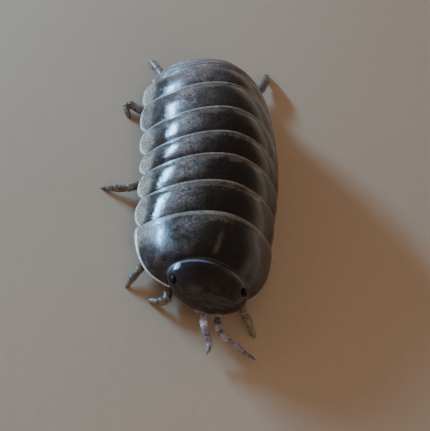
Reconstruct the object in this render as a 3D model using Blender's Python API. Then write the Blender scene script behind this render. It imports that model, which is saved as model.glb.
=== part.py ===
# Pill woodlouse, life size, standing still with its feelers out.
# The head points along -Y, the animal's right side is -X and the feet stand at Z = 0.
# Sizes below are in millimetres; the meshes are written in metres.
import math

import bpy
import numpy as np

MM = 0.001

# ---- driving dimensions -------------------------------------------------------------
# The trunk is an arch swept from head to tail. tau counts rear margins: 0 is the front
# margin of trunk plate 1, 1..7 the rear margins of trunk plates 1..7, 8..12 those of the
# five tail plates, and 13 the tail's rim.
# Columns: tau, ridge y, ridge z, edge y, edge z, half width, wrap (1 = half circle),
# sideways shift of the ridge, sideways shift of the edges.
TRUNK = (
    (0.00, -6.11, 2.60, -6.70, 0.86, 1.73, 1.33, -1.38, -0.73),
    (0.30, -5.51, 2.80, -6.04, 0.78, 2.56, 1.12, -1.14, -0.85),
    (0.62, -4.72, 2.98, -5.05, 0.73, 3.11, 0.95, -0.90, -0.80),
    (1.00, -3.69, 3.12, -3.71, 0.70, 3.40, 0.82, -0.62, -0.68),
    (2.00, -1.99, 3.38, -1.99, 0.70, 3.50, 0.80, -0.37, -0.42),
    (3.00, -0.51, 3.63, -0.51, 0.70, 3.56, 0.80, -0.19, -0.23),
    (4.00, 0.73, 3.85, 0.73, 0.70, 3.60, 0.80, -0.09, -0.11),
    (5.00, 2.26, 3.94, 2.26, 0.70, 3.63, 0.80, -0.02, -0.06),
    (6.00, 4.02, 3.81, 4.10, 0.70, 3.54, 0.80, 0.00, -0.02),
    (7.00, 5.27, 3.59, 5.60, 0.70, 3.28, 0.82, 0.00, 0.00),
    (8.00, 5.63, 3.48, 5.84, 0.72, 3.12, 0.84, 0.00, 0.00),
    (9.00, 6.02, 3.27, 6.04, 0.74, 3.00, 0.86, 0.00, 0.00),
    (10.00, 6.42, 2.98, 6.54, 0.75, 2.74, 0.90, 0.00, 0.00),
    (11.00, 6.79, 2.60, 6.99, 0.78, 2.34, 0.94, 0.00, 0.00),
    (12.00, 7.10, 2.14, 7.34, 0.84, 1.84, 0.98, 0.00, 0.00),
    (13.00, 7.53, 1.10, 7.51, 0.96, 1.10, 1.00, 0.00, 0.00),
)
ARCH_POWER = 1.8        # superellipse power of the arch
PLATE_T = 0.42          # plate thickness at the ridge
EDGE_THIN = 0.42        # share of the thickness lost at the side edges
TAIL_T = 0.30

# head: rings from the hidden neck to the face
# Columns: place, ridge y, chin y, half width, top z, widest z, chin z, top power, chin power
HEAD = (
    (0.00, -5.42, -5.72, 1.10, 1.90, 1.58, 1.25, 2.0, 2.0),
    (0.10, -5.94, -6.48, 1.36, 2.02, 1.50, 1.00, 2.0, 2.2),
    (0.17, -6.155, -6.72, 1.46, 2.12, 1.50, 0.92, 2.0, 2.2),
    (0.20, -6.185, -6.75, 1.80, 2.50, 1.50, 0.86, 2.0, 2.2),
    (0.27, -6.27, -6.80, 1.87, 2.575, 1.52, 0.80, 2.0, 2.2),
    (0.38, -6.50, -6.92, 1.88, 2.54, 1.54, 0.76, 2.0, 2.2),
    (0.52, -6.85, -7.10, 1.81, 2.43, 1.54, 0.74, 2.0, 2.2),
    (0.66, -7.16, -7.28, 1.67, 2.26, 1.52, 0.74, 2.1, 2.2),
    (0.79, -7.45, -7.46, 1.44, 2.03, 1.46, 0.78, 2.2, 2.2),
    (0.90, -7.65, -7.61, 1.12, 1.78, 1.40, 0.86, 2.2, 2.2),
    (1.00, -7.76, -7.72, 0.70, 1.56, 1.34, 1.00, 2.2, 2.2),
)
HEAD_YAW = 0.0          # degrees, face turned to the animal's left
HEAD_PIVOT = (-0.9, -6.0)
HEAD_X = (-0.70, -0.68)  # head's mid plane at the chin, and how far the crown leans to the right
EYE_AT = (1.64, -6.94, 1.86)     # from the head's own mid plane
EYE_R = (0.13, 0.22, 0.19)

BELLY_Z = 1.45
BELLY_Y = (-5.15, 6.15)

LEG_R = 0.22
FOOT_R = 0.14
# feet and outer knees, x y (z), right side then left side, front leg first
FEET_R = ((-3.24, -6.86), (-4.20, -6.46), (-3.35, -3.10), (-5.38, -0.97), (-3.15, 1.35), (-3.88, 3.95), (-2.77, 8.57))
FEET_L = ((1.78, -7.90), (2.00, -5.00), (2.95, -2.95), (3.20, -0.62), (3.25, 1.60), (3.20, 4.05), (4.02, 9.80))
KNEE_R = ((-2.52, -7.22, 0.44), (-3.92, -5.95, 0.38), (-3.15, -2.95, 0.36), (-4.40, -1.08, 0.36), (-3.05, 1.42, 0.36), (-4.26, 4.74, 0.36), (-2.50, 7.76, 0.42))
KNEE_L = ((1.24, -7.22, 0.46), (1.80, -4.70, 0.38), (2.75, -2.76, 0.36), (3.00, -0.54, 0.36), (3.05, 1.56, 0.36), (3.00, 4.00, 0.36), (3.56, 8.36, 0.50))

FEELER_R0 = 0.24
# feelers: points from the face to the tip
FEELER_PTS_R = ((-1.08, -7.86, 1.06), (-1.03, -8.28, 0.92), (-0.82, -8.76, 0.74), (-0.66, -8.96, 0.58), (-0.68, -9.22, 0.44), (-0.73, -9.48, 0.34))
FEELER_PTS_L = ((-0.42, -7.90, 1.02), (-0.34, -8.34, 0.88), (-0.10, -8.62, 0.74), (0.40, -8.74, 0.58), (1.02, -9.06, 0.42), (1.64, -9.26, 0.30))

# moves the middle of the footprint to the origin
SHIFT = (0.681, -0.193, 0.0)


# ---- curves and surfaces -------------------------------------------------------------
def smooth(x, lo, hi):
    t = np.clip((np.asarray(x, float) - lo) / (hi - lo), 0.0, 1.0)
    return t * t * (3.0 - 2.0 * t)


class Track:
    """Shape-keeping cubic through the columns of a table."""

    def __init__(self, rows):
        a = np.array(rows, float)
        self.x, self.y = a[:, 0], a[:, 1:]
        h = np.diff(self.x)[:, None]
        d = np.diff(self.y, axis=0) / h
        m = np.zeros_like(self.y)
        w1, w2 = 2 * h[1:] + h[:-1], h[1:] + 2 * h[:-1]
        same = d[:-1] * d[1:] > 0
        with np.errstate(divide="ignore", invalid="ignore"):
            mid = (w1 + w2) / (w1 / d[:-1] + w2 / d[1:])
        m[1:-1] = np.where(same, mid, 0.0)
        m[0], m[-1] = d[0], d[-1]
        self.m = m

    def __call__(self, q):
        q = np.asarray(q, float)
        i = np.clip(np.searchsorted(self.x, q, side="right") - 1, 0, len(self.x) - 2)
        h = self.x[i + 1] - self.x[i]
        t = ((q - self.x[i]) / h)[..., None]
        h = h[..., None]
        y0, y1, m0, m1 = self.y[i], self.y[i + 1], self.m[i] * h, self.m[i + 1] * h
        return (
            y0 * (1 + 2 * t) * (1 - t) ** 2
            + m0 * t * (1 - t) ** 2
            + y1 * t * t * (3 - 2 * t)
            + m1 * t * t * (t - 1)
        )


TRUNK_TRACK = Track(TRUNK)
HEAD_TRACK = Track(HEAD)
SOFT = 0.16


def soft_power(s, m):
    """sign(s)|s|^m, rounded off near zero so the ridge has no crease."""
    return s * (s * s + SOFT * SOFT) ** ((m - 1) / 2) / (1 + SOFT * SOFT) ** ((m - 1) / 2)


def trunk(b, tau):
    """Point of the trunk's outer surface; b runs -1..1 from the right edge to the left."""
    b, tau = np.broadcast_arrays(np.asarray(b, float), np.asarray(tau, float))
    yd, zd, yc, zc, w, wrap, xd, xc = np.moveaxis(TRUNK_TRACK(tau), -1, 0)
    a = wrap * math.pi / 2
    t = b * a
    m = 2.0 / ARCH_POWER
    s = np.sin(t) / np.sin(np.minimum(a, math.pi / 2))
    cc = np.clip((np.cos(t) - np.cos(a)) / (1 - np.cos(a)), 0, 1)
    # past the half circle the edges turn in again by the wrap
    k = cc ** m
    x = w * soft_power(s, m) + xc + (xd - xc) * k
    edge = np.sin(a) / np.sin(np.minimum(a, math.pi / 2))
    x = np.where(wrap > 1, (x - xc - (xd - xc) * k) / soft_power(edge, m) + xc + (xd - xc) * k, x)
    return np.stack([x, yc + (yd - yc) * k, zc + (zd - zc) * k], -1)


def trunk_normal(b, tau):
    e = 2e-3
    b, tau = np.broadcast_arrays(np.asarray(b, float), np.asarray(tau, float))
    bb = np.clip(b, -1 + e, 1 - e)
    tt = np.clip(tau, 0 + e, 13 - e)
    db = trunk(bb + e, tt) - trunk(bb - e, tt)
    dt = trunk(bb, tt + e) - trunk(bb, tt - e)
    n = np.cross(db, dt)
    return n / np.linalg.norm(n, axis=-1, keepdims=True)


def thin(b):
    return 1.0 - EDGE_THIN * smooth(np.abs(b), 0.45, 1.0)


def shell_point(b, tau, off):
    """Point at an offset (outward, millimetres at the ridge) from the trunk's surface."""
    return trunk(b, tau) + trunk_normal(b, tau) * (np.asarray(off) * thin(b))[..., None]


# ---- plates --------------------------------------------------------------------------
# name, rear tau, lap (tau under the plate in front), rounding of the side lobe,
# power of that rounding, thickness, reach across (1 = to the edge)
PLATES = (
    ("pereonite_1", 1, 0.00, 0.050, 6.0, PLATE_T, 1.00),
    ("pereonite_2", 2, 0.15, 0.090, 2.5, PLATE_T, 1.00),
    ("pereonite_3", 3, 0.17, 0.095, 2.4, PLATE_T, 1.00),
    ("pereonite_4", 4, 0.19, 0.095, 2.4, PLATE_T, 1.00),
    ("pereonite_5", 5, 0.15, 0.090, 2.5, PLATE_T, 1.00),
    ("pereonite_6", 6, 0.14, 0.085, 3.0, PLATE_T, 1.00),
    ("pereonite_7", 7, 0.16, 0.070, 3.6, PLATE_T, 1.00),
    ("pleonite_1", 8, 0.14, 0.0, 2.0, TAIL_T, 0.60),
    ("pleonite_2", 9, 0.35, 0.0, 2.0, TAIL_T, 0.60),
    ("pleonite_3", 10, 0.35, 0.060, 3.0, TAIL_T, 1.00),
    ("pleonite_4", 11, 0.30, 0.060, 3.0, TAIL_T, 1.00),
    ("pleonite_5", 12, 0.30, 0.060, 3.0, TAIL_T, 1.00),
)


def plate_rows(rear, lap, thick, next_lap):
    """Outer row then inner row of (tau, offset) for one plate, front to rear."""
    f = rear - 1.0
    tail = rear > 7
    rim = 0.045 if not tail else 0.03
    if rear == 1:
        outer = [(0.0, -0.09), (0.025, -0.01), (0.30, 0.03), (0.62, 0.03), (0.84, 0.02), (0.93, rim), (0.985, rim), (1.0, 0.0)]
        front = 0.0
    else:
        outer = [(f - lap, -0.20), (f, -0.155), (f + 0.16, -0.03), (f + 0.48, 0.03), (f + 0.80, 0.02), (f + 0.89, rim), (f + 0.975, rim), (rear, 0.0)]
        front = f - lap
    step = rear - next_lap - (0.05 if not tail else 0.08)
    inner = [(rear, -0.07), (step, -0.115), (step - 0.02, -thick)]
    n = len(outer) - len(inner)
    inner += [(step - 0.02 + (front - step + 0.02) * (k + 1) / n, -thick) for k in range(n)]
    return outer, inner[::-1]


def lobe(v, delta, power, first):
    """Reach of the plate's edge along its length: rounded corners front and rear."""
    t = 2 * v - 1
    if first:
        t = np.where(t < 0, 0, t)
    return 1 - delta * np.abs(t) ** power


def make_plate(k, across, rows=None):
    name, rear, lap, delta, power, thick, reach = PLATES[k]
    next_lap = PLATES[k + 1][2] if k + 1 < len(PLATES) else 0.30
    outer, inner = plate_rows(rear, lap, thick, next_lap)
    loop = np.array(outer + inner[::-1])
    count = len(loop)
    u = np.linspace(-1, 1, across + 1)[:, None]
    tau = np.repeat(loop[None, :, 0], across + 1, 0)
    off = np.repeat(loop[None, :, 1], across + 1, 0)
    v = tau - (rear - 1)
    end = lobe(v, delta, power, rear == 1)
    b = reach * u * (1 - (1 - end) * np.abs(u) ** 6)
    if name == "pleonite_3":
        # beyond the short first two tail plates this one laps under trunk plate 7
        g = smooth(np.abs(b), 0.68, 0.78)
        lap_front = tau < 9.001
        tau = np.where(lap_front, tau + g * (np.where(tau < 9 - 0.01, 6.90, 7.02) - tau), tau)
    pts = shell_point(b, tau, off)
    return pts, count


def loop_mesh(pts, count):
    """Close a run of equal loops whose outer and inner rows match, with strip caps."""
    n = len(pts)
    verts = pts.reshape(-1, 3)
    faces = []
    for i in range(n - 1):
        for j in range(count):
            a, b = i * count + j, i * count + (j + 1) % count
            faces.append((a, b, b + count, a + count))
    half = count // 2
    for base, flip in ((0, False), ((n - 1) * count, True)):
        for j in range(half - 1):
            q = (base + j, base + j + 1, base + count - 2 - j, base + count - 1 - j)
            faces.append(q if flip else q[::-1])
    return verts, faces


def ring_mesh(rings):
    """Skin a run of equal rings and close both ends with a face."""
    n, m = len(rings), len(rings[0])
    verts = np.asarray(rings).reshape(-1, 3)
    faces = []
    for i in range(n - 1):
        for j in range(m):
            a, b = i * m + j, i * m + (j + 1) % m
            faces.append((a, b, b + m, a + m))
    faces.append(tuple(range(m))[::-1])
    faces.append(tuple((n - 1) * m + j for j in range(m)))
    return verts, faces


# ---- head ----------------------------------------------------------------------------
def turn_head(p):
    """Lean and turn of the head: nothing at the neck, all of it at the face."""
    p = np.array(p, float)
    k = np.clip((p[..., 2] - 0.86) / 1.74, 0, 1)
    x = p[..., 0] + HEAD_X[0] + HEAD_X[1] * k
    g = math.radians(HEAD_YAW) * smooth(-p[..., 1], 5.9, 7.0)
    dx, dy = x - HEAD_PIVOT[0], p[..., 1] - HEAD_PIVOT[1]
    p[..., 0] = HEAD_PIVOT[0] + dx * np.cos(g) - dy * np.sin(g)
    p[..., 1] = HEAD_PIVOT[1] + dx * np.sin(g) + dy * np.cos(g)
    return p


def head_point(phi, r):
    phi, r = np.broadcast_arrays(np.asarray(phi, float), np.asarray(r, float))
    yt, yb, a, zt, zm, zb, et, eb = np.moveaxis(HEAD_TRACK(r), -1, 0)
    c, s = np.cos(phi), np.sin(phi)
    e = np.where(s >= 0, et, eb)
    x = a * np.sign(c) * np.abs(c) ** (2 / e)
    z = np.where(s >= 0, zm + (zt - zm) * np.abs(s) ** (2 / e), zm - (zm - zb) * np.abs(s) ** (2 / e))
    y = yb + (yt - yb) * (z - zb) / (zt - zb)
    return turn_head(np.stack([x, y, z], -1))


def make_head(around=22):
    phi = (np.arange(around) + 0.5) * 2 * math.pi / around
    rings = [head_point(phi, r) for r in [row[0] for row in HEAD]]
    return ring_mesh(rings)


def ellipsoid(centre, radii, across=8, rows=5, grow=0.0, side=1):
    rings = []
    c = np.array(centre)
    q = np.array(radii) + grow
    for i in range(1, rows):
        th = math.pi * i / rows
        phi = np.arange(across) * 2 * math.pi / across
        rings.append(np.stack([np.full(across, -math.cos(th) * q[0]) * side, np.cos(phi) * math.sin(th) * q[1], np.sin(phi) * math.sin(th) * q[2]], -1) + c)
    verts = np.concatenate([np.asarray(rings).reshape(-1, 3), [c - [q[0] * side, 0, 0], c + [q[0] * side, 0, 0]]])
    faces = []
    m = across
    for i in range(rows - 2):
        for j in range(m):
            a, b = i * m + j, i * m + (j + 1) % m
            faces.append((a, b, b + m, a + m))
    lo, hi = len(verts) - 2, len(verts) - 1
    for j in range(m):
        faces.append((lo, (j + 1) % m, j))
        base = (rows - 2) * m
        faces.append((hi, base + j, base + (j + 1) % m))
    return verts, faces


# ---- tubes ---------------------------------------------------------------------------
def spline(points, n):
    """Centripetal curve through the points, n samples at equal length."""
    p = np.array(points, float)
    p = np.vstack([2 * p[0] - p[1], p, 2 * p[-1] - p[-2]])
    out = []
    for i in range(1, len(p) - 2):
        q = p[i - 1 : i + 3]
        t = np.concatenate([[0], np.cumsum(np.linalg.norm(np.diff(q, axis=0), axis=1) ** 0.5)])
        for s in np.linspace(t[1], t[2], 24, endpoint=False):
            a1 = (t[1] - s) / (t[1] - t[0]) * q[0] + (s - t[0]) / (t[1] - t[0]) * q[1]
            a2 = (t[2] - s) / (t[2] - t[1]) * q[1] + (s - t[1]) / (t[2] - t[1]) * q[2]
            a3 = (t[3] - s) / (t[3] - t[2]) * q[2] + (s - t[2]) / (t[3] - t[2]) * q[3]
            b1 = (t[2] - s) / (t[2] - t[0]) * a1 + (s - t[0]) / (t[2] - t[0]) * a2
            b2 = (t[3] - s) / (t[3] - t[1]) * a2 + (s - t[1]) / (t[3] - t[1]) * a3
            out.append((t[2] - s) / (t[2] - t[1]) * b1 + (s - t[1]) / (t[2] - t[1]) * b2)
    out.append(p[-2])
    out = np.array(out)
    d = np.concatenate([[0], np.cumsum(np.linalg.norm(np.diff(out, axis=0), axis=1))])
    s = np.linspace(0, d[-1], n)
    return np.stack([np.interp(s, d, out[:, i]) for i in range(3)], -1)


def tube(points, radii, sides, foot=None):
    """Rings carried along a path without twist; a foot ends in a level ring at Z = 0."""
    p = np.array(points)
    t = np.gradient(p, axis=0)
    t /= np.linalg.norm(t, axis=1)[:, None]
    ref = np.array([0.0, 0.0, 1.0]) if abs(t[0][2]) < 0.9 else np.array([0.0, 1.0, 0.0])
    n = np.cross(t[0], ref)
    n /= np.linalg.norm(n)
    rings = []
    ang = (np.arange(sides) + 0.5) * 2 * math.pi / sides
    for i in range(len(p)):
        n = n - t[i] * (n @ t[i])
        n /= np.linalg.norm(n)
        m = np.cross(t[i], n)
        rings.append(p[i] + radii[i] * (np.cos(ang)[:, None] * n + np.sin(ang)[:, None] * m))
    if foot is not None:
        last = rings[-1].copy()
        c = np.array([p[-1][0], p[-1][1], 0.0])
        flat = last - p[-1]
        flat[:, 2] = 0
        flat *= foot / np.maximum(np.linalg.norm(flat, axis=1)[:, None], 1e-9)
        rings[-1] = c + flat
    return ring_mesh(rings)


# ---- building in the scene -----------------------------------------------------------
def material(name, colour, rough, coat=0.0):
    m = bpy.data.materials.new(name)
    m.use_nodes = True
    b = m.node_tree.nodes["Principled BSDF"]
    b.inputs["Base Color"].default_value = (*colour, 1)
    b.inputs["Roughness"].default_value = rough
    b.inputs["Coat Weight"].default_value = coat
    return m


def signed_volume(verts, faces):
    total = 0.0
    for f in faces:
        a = verts[f[0]]
        for i in range(1, len(f) - 1):
            total += np.dot(a, np.cross(verts[f[i]], verts[f[i + 1]]))
    return total


def place(name, verts, faces, mat, hidden=False):
    verts = np.asarray(verts, float)
    if signed_volume(verts, faces) < 0:
        faces = [tuple(reversed(f)) for f in faces]
    verts = (verts + np.array(SHIFT)) * MM
    mesh = bpy.data.meshes.new(name)
    mesh.from_pydata(verts.tolist(), [], faces)
    mesh.update()
    mesh.materials.append(mat)
    mesh.shade_smooth()
    ob = bpy.data.objects.new(name, mesh)
    bpy.context.scene.collection.objects.link(ob)
    if hidden:
        ob.hide_render = True
        ob.display_type = "WIRE"
    return ob


def cut(ob, tool):
    mod = ob.modifiers.new("socket", "BOOLEAN")
    mod.operation = "DIFFERENCE"
    mod.solver = "EXACT"
    mod.object = tool


# ---- belly ---------------------------------------------------------------------------
def tau_at(b, y):
    lo, hi = 0.0, 13.0
    for _ in range(40):
        mid = (lo + hi) / 2
        if trunk(b, mid)[1] < y:
            lo = mid
        else:
            hi = mid
    return (lo + hi) / 2


def make_belly(stations=13, across=10):
    rings = []
    for y in np.linspace(BELLY_Y[0], BELLY_Y[1], stations):
        ring = []
        reach = 0.66
        for b in np.linspace(-reach, reach, across + 1):
            tau = tau_at(b, y)
            ring.append(shell_point(b, tau, -PLATE_T - 0.08) * [1, 0, 1] + [0, y, 0])
        left, right = ring[-1], ring[0]
        bottom = []
        for s in np.linspace(0.92, -0.92, 6):
            x = (left[0] + right[0]) / 2 + s * (left[0] - right[0]) / 2
            z = min(BELLY_Z - 0.10 * (1 - abs(s)) ** 0.8, left[2] - 0.12, right[2] - 0.12)
            bottom.append(np.array([x, y, z]))
        rings.append(ring + bottom)
    return ring_mesh(rings)


# ---- tail end ------------------------------------------------------------------------
def patch(tau0, tau1, b0, b1, nb, nt, top, bottom, trim=None):
    """Curved slab on the trunk's surface between two tau lines; b limits are functions of tau."""
    rows = []
    for i in range(nb + 1):
        loop = []
        for side, off in ((0, top), (1, bottom)):
            taus = np.linspace(tau0, tau1, nt + 1)
            if side:
                taus = taus[::-1]
            for t in taus:
                lo, hi = b0(t), b1(t)
                b = lo + (hi - lo) * i / nb
                te = t if trim is None else trim(t, i / nb)
                loop.append(shell_point(b, te, off))
        rows.append(loop)
    return loop_mesh(np.array(rows), 2 * (nt + 1))


def leg_path(side, k):
    s = -1 if side == "R" else 1
    feet, knees = (FEET_R, KNEE_R) if side == "R" else (FEET_L, KNEE_L)
    foot, knee = feet[k], knees[k]
    tau = k + 0.5
    root_y = float(TRUNK_TRACK(tau)[2])
    if k == 0:
        root_y = -4.75
    ahead = -1 if k < 3 else 1
    x0 = float(TRUNK_TRACK(tau)[7])
    a = (x0 + s * 2.02, root_y - 0.30 * ahead, 1.14)
    b = (x0 + s * 1.52, root_y - 0.26 * ahead, 1.00)
    c = (x0 + s * 1.14, root_y + 0.02 * ahead, 0.82)
    d = (x0 + s * 1.40, root_y + 0.30 * ahead, 0.62)
    e = (knee[0] * 0.62 + d[0] * 0.38, knee[1] * 0.55 + d[1] * 0.45, 0.37)
    f = (knee[0], knee[1], knee[2])
    g = (foot[0], foot[1], 0.0)
    h = ((f[0] + g[0]) / 2 + 0.06 * s, (f[1] + g[1]) / 2, (f[2]) / 2 + 0.03)
    return [a, b, c, d, e, f, h, g]


def make_leg(side, k, sides=6, stations=13):
    path = spline(leg_path(side, k), stations)
    fr = np.linspace(0, 1, stations)
    radii = LEG_R * (1 - 0.12 * smooth(fr, 0.5, 0.95))
    radii[-1] = FOOT_R
    radii[-2] = LEG_R * 0.80
    return tube(path, radii, sides, foot=FOOT_R)


def make_feeler(points, sides=6, stations=11):
    path = spline(points, stations)
    fr = np.linspace(0, 1, stations)
    radii = FEELER_R0 * (1 - 0.08 * fr)
    radii[0] *= 0.8
    radii[-1] *= 0.6
    return tube(path, radii, sides)


def main():
    for ob in list(bpy.data.objects):
        bpy.data.objects.remove(ob, do_unlink=True)

    shell = [material("shell_%d" % i, (0.060 + 0.004 * (i % 3), 0.055, 0.050), 0.28, 0.5) for i in range(12)]
    head_mat = material("head", (0.035, 0.038, 0.042), 0.25, 0.5)
    eye_mat = material("eye", (0.004, 0.004, 0.005), 0.12)
    skin = material("belly_skin", (0.36, 0.33, 0.30), 0.55)
    limb = material("limb", (0.20, 0.17, 0.12), 0.40)
    feeler_mat = material("feeler", (0.24, 0.21, 0.23), 0.40)

    for k, row in enumerate(PLATES):
        across = 16 if k < 7 else (10 if k < 9 else 14)
        pts, count = make_plate(k, across)
        verts, faces = loop_mesh(pts, count)
        place(row[0], verts, faces, shell[k])

    verts, faces = make_head()
    head = place("head", verts, faces, head_mat)
    for side, s in (("R", -1), ("L", 1)):
        at = turn_head(np.array([s * EYE_AT[0], EYE_AT[1], EYE_AT[2]]))
        v, f = ellipsoid(at, EYE_R, side=s)
        place("eye_" + side, v, f, eye_mat)
        v, f = ellipsoid(at, EYE_R, grow=0.03, side=s)
        cut(head, place("eye_socket_" + side, v, f, head_mat, hidden=True))

    place("antenna_R", *make_feeler(FEELER_PTS_R), feeler_mat)
    place("antenna_L", *make_feeler(FEELER_PTS_L), feeler_mat)
    for k in range(7):
        for side in "RL":
            place("leg_%s%d" % (side, k + 1), *make_leg(side, k), limb)
    place("belly", *make_belly(), skin)

    # telson: a blunt triangle between the two tail feet
    half = lambda t: 0.44 - 0.22 * (t - 12.0)
    place("telson", *patch(12.02, 13.0, lambda t: -half(t), half, 6, 4, -0.02, -0.26), shell[11])
    for side, s in (("R", -1), ("L", 1)):
        inner = lambda t, s=s: s * (half(t) + 0.05)
        outer = lambda t, s=s: s * 0.86
        v, f = patch(12.05, 12.97, inner, outer, 3, 3, -0.05, -0.25)
        place("uropod_" + side, v, f, limb)

    # pleopods: a thick wedge of gill plates under the tail
    rings = []
    for y, w, zt, zb in ((5.35, 0.95, 1.26, 1.06), (5.62, 1.30, 1.28, 0.92), (6.00, 1.42, 1.28, 0.88), (6.45, 1.20, 1.28, 0.90), (6.90, 0.80, 1.24, 0.98)):
        ang = (np.arange(12) + 0.5) * 2 * math.pi / 12
        c, s = np.cos(ang), np.sin(ang)
        rings.append(np.stack([w * np.sign(c) * np.abs(c) ** 0.7, np.full(12, y), (zt + zb) / 2 + (zt - zb) / 2 * np.sign(s) * np.abs(s) ** 0.7], -1))
    place("pleopods", *ring_mesh(rings), skin)


main()
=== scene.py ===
# Looks for the life-size pill woodlouse: fine plates, head, eyes, limbs and underside
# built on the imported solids, with procedural materials, a pale floor and soft light.
import math

import bpy
import numpy as np
from mathutils import Matrix, Vector


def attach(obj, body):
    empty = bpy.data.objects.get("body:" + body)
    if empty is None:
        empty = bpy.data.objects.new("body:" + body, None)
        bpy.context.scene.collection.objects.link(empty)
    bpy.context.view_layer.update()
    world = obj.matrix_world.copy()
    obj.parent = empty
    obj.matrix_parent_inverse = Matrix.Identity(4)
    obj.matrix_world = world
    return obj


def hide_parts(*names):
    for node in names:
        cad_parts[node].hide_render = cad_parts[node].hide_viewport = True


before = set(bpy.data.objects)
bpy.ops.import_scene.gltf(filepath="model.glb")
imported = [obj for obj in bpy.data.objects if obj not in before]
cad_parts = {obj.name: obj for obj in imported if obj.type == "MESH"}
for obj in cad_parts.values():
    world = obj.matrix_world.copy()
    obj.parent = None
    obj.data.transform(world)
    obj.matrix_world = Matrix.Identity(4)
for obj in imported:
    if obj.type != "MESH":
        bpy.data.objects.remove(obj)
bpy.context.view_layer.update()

MM = 0.001
RNG = np.random.default_rng(7)

# ---- the shape tables of the solids, in millimetres -----------------------------------
TRUNK = (
    (0.00, -6.11, 2.60, -6.70, 0.86, 1.73, 1.33, -1.38, -0.73),
    (0.30, -5.51, 2.80, -6.04, 0.78, 2.56, 1.12, -1.14, -0.85),
    (0.62, -4.72, 2.98, -5.05, 0.73, 3.11, 0.95, -0.90, -0.80),
    (1.00, -3.69, 3.12, -3.71, 0.70, 3.40, 0.82, -0.62, -0.68),
    (2.00, -1.99, 3.38, -1.99, 0.70, 3.50, 0.80, -0.37, -0.42),
    (3.00, -0.51, 3.63, -0.51, 0.70, 3.56, 0.80, -0.19, -0.23),
    (4.00, 0.73, 3.85, 0.73, 0.70, 3.60, 0.80, -0.09, -0.11),
    (5.00, 2.26, 3.94, 2.26, 0.70, 3.63, 0.80, -0.02, -0.06),
    (6.00, 4.02, 3.81, 4.10, 0.70, 3.54, 0.80, 0.00, -0.02),
    (7.00, 5.27, 3.59, 5.60, 0.70, 3.28, 0.82, 0.00, 0.00),
    (8.00, 5.63, 3.48, 5.84, 0.72, 3.12, 0.84, 0.00, 0.00),
    (9.00, 6.02, 3.27, 6.04, 0.74, 3.00, 0.86, 0.00, 0.00),
    (10.00, 6.42, 2.98, 6.54, 0.75, 2.74, 0.90, 0.00, 0.00),
    (11.00, 6.79, 2.60, 6.99, 0.78, 2.34, 0.94, 0.00, 0.00),
    (12.00, 7.10, 2.14, 7.34, 0.84, 1.84, 0.98, 0.00, 0.00),
    (13.00, 7.53, 1.10, 7.51, 0.96, 1.10, 1.00, 0.00, 0.00),
)
ARCH_POWER = 1.8
PLATE_T = 0.42
EDGE_THIN = 0.42
TAIL_T = 0.30
HEAD = (
    (0.00, -5.42, -5.72, 1.10, 1.90, 1.58, 1.25, 2.0, 2.0),
    (0.10, -5.80, -6.36, 1.50, 2.26, 1.50, 1.00, 2.0, 2.2),
    (0.17, -6.05, -6.66, 1.72, 2.45, 1.50, 0.90, 2.0, 2.2),
    (0.20, -6.15, -6.73, 1.80, 2.52, 1.50, 0.86, 2.0, 2.2),
    (0.27, -6.27, -6.80, 1.87, 2.575, 1.52, 0.80, 2.0, 2.2),
    (0.38, -6.50, -6.92, 1.885, 2.57, 1.54, 0.76, 2.0, 2.2),
    (0.52, -6.85, -7.10, 1.82, 2.45, 1.54, 0.74, 2.0, 2.2),
    (0.66, -7.16, -7.28, 1.67, 2.26, 1.52, 0.74, 2.1, 2.2),
    (0.79, -7.45, -7.46, 1.44, 2.03, 1.46, 0.78, 2.2, 2.2),
    (0.90, -7.65, -7.61, 1.12, 1.78, 1.40, 0.86, 2.2, 2.2),
    (1.00, -7.76, -7.72, 0.70, 1.56, 1.34, 1.00, 2.2, 2.2),
)
HEAD_X = (-0.70, -0.68)
EYE_AT = (1.64, -6.94, 1.86)
EYE_R = (0.13, 0.22, 0.19)
BELLY_Z = 1.45
BELLY_Y = (-5.15, 6.15)
FEET_R = ((-3.24, -6.86), (-4.20, -6.46), (-3.35, -3.10), (-5.38, -0.97), (-3.15, 1.35), (-3.88, 3.95), (-2.77, 8.57))
FEET_L = ((1.78, -7.90), (2.00, -5.00), (2.95, -2.95), (3.20, -0.62), (3.25, 1.60), (3.20, 4.05), (4.02, 9.80))
KNEE_R = ((-2.52, -7.22, 0.44), (-3.92, -5.95, 0.38), (-3.15, -2.95, 0.36), (-4.40, -1.08, 0.36), (-3.05, 1.42, 0.36), (-4.26, 4.74, 0.36), (-2.50, 7.76, 0.42))
KNEE_L = ((1.24, -7.22, 0.46), (1.80, -4.70, 0.38), (2.75, -2.76, 0.36), (3.00, -0.54, 0.36), (3.05, 1.56, 0.36), (3.00, 4.00, 0.36), (3.56, 8.36, 0.50))
FEELER_PTS_R = ((-1.08, -7.86, 1.06), (-1.03, -8.28, 0.92), (-0.82, -8.76, 0.74), (-0.66, -8.96, 0.58), (-0.68, -9.22, 0.44), (-0.73, -9.48, 0.34))
FEELER_PTS_L = ((-0.42, -7.90, 1.02), (-0.34, -8.34, 0.88), (-0.10, -8.62, 0.74), (0.40, -8.74, 0.58), (1.02, -9.06, 0.42), (1.64, -9.26, 0.30))
SHIFT = np.array((0.681, -0.193, 0.0))
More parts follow.
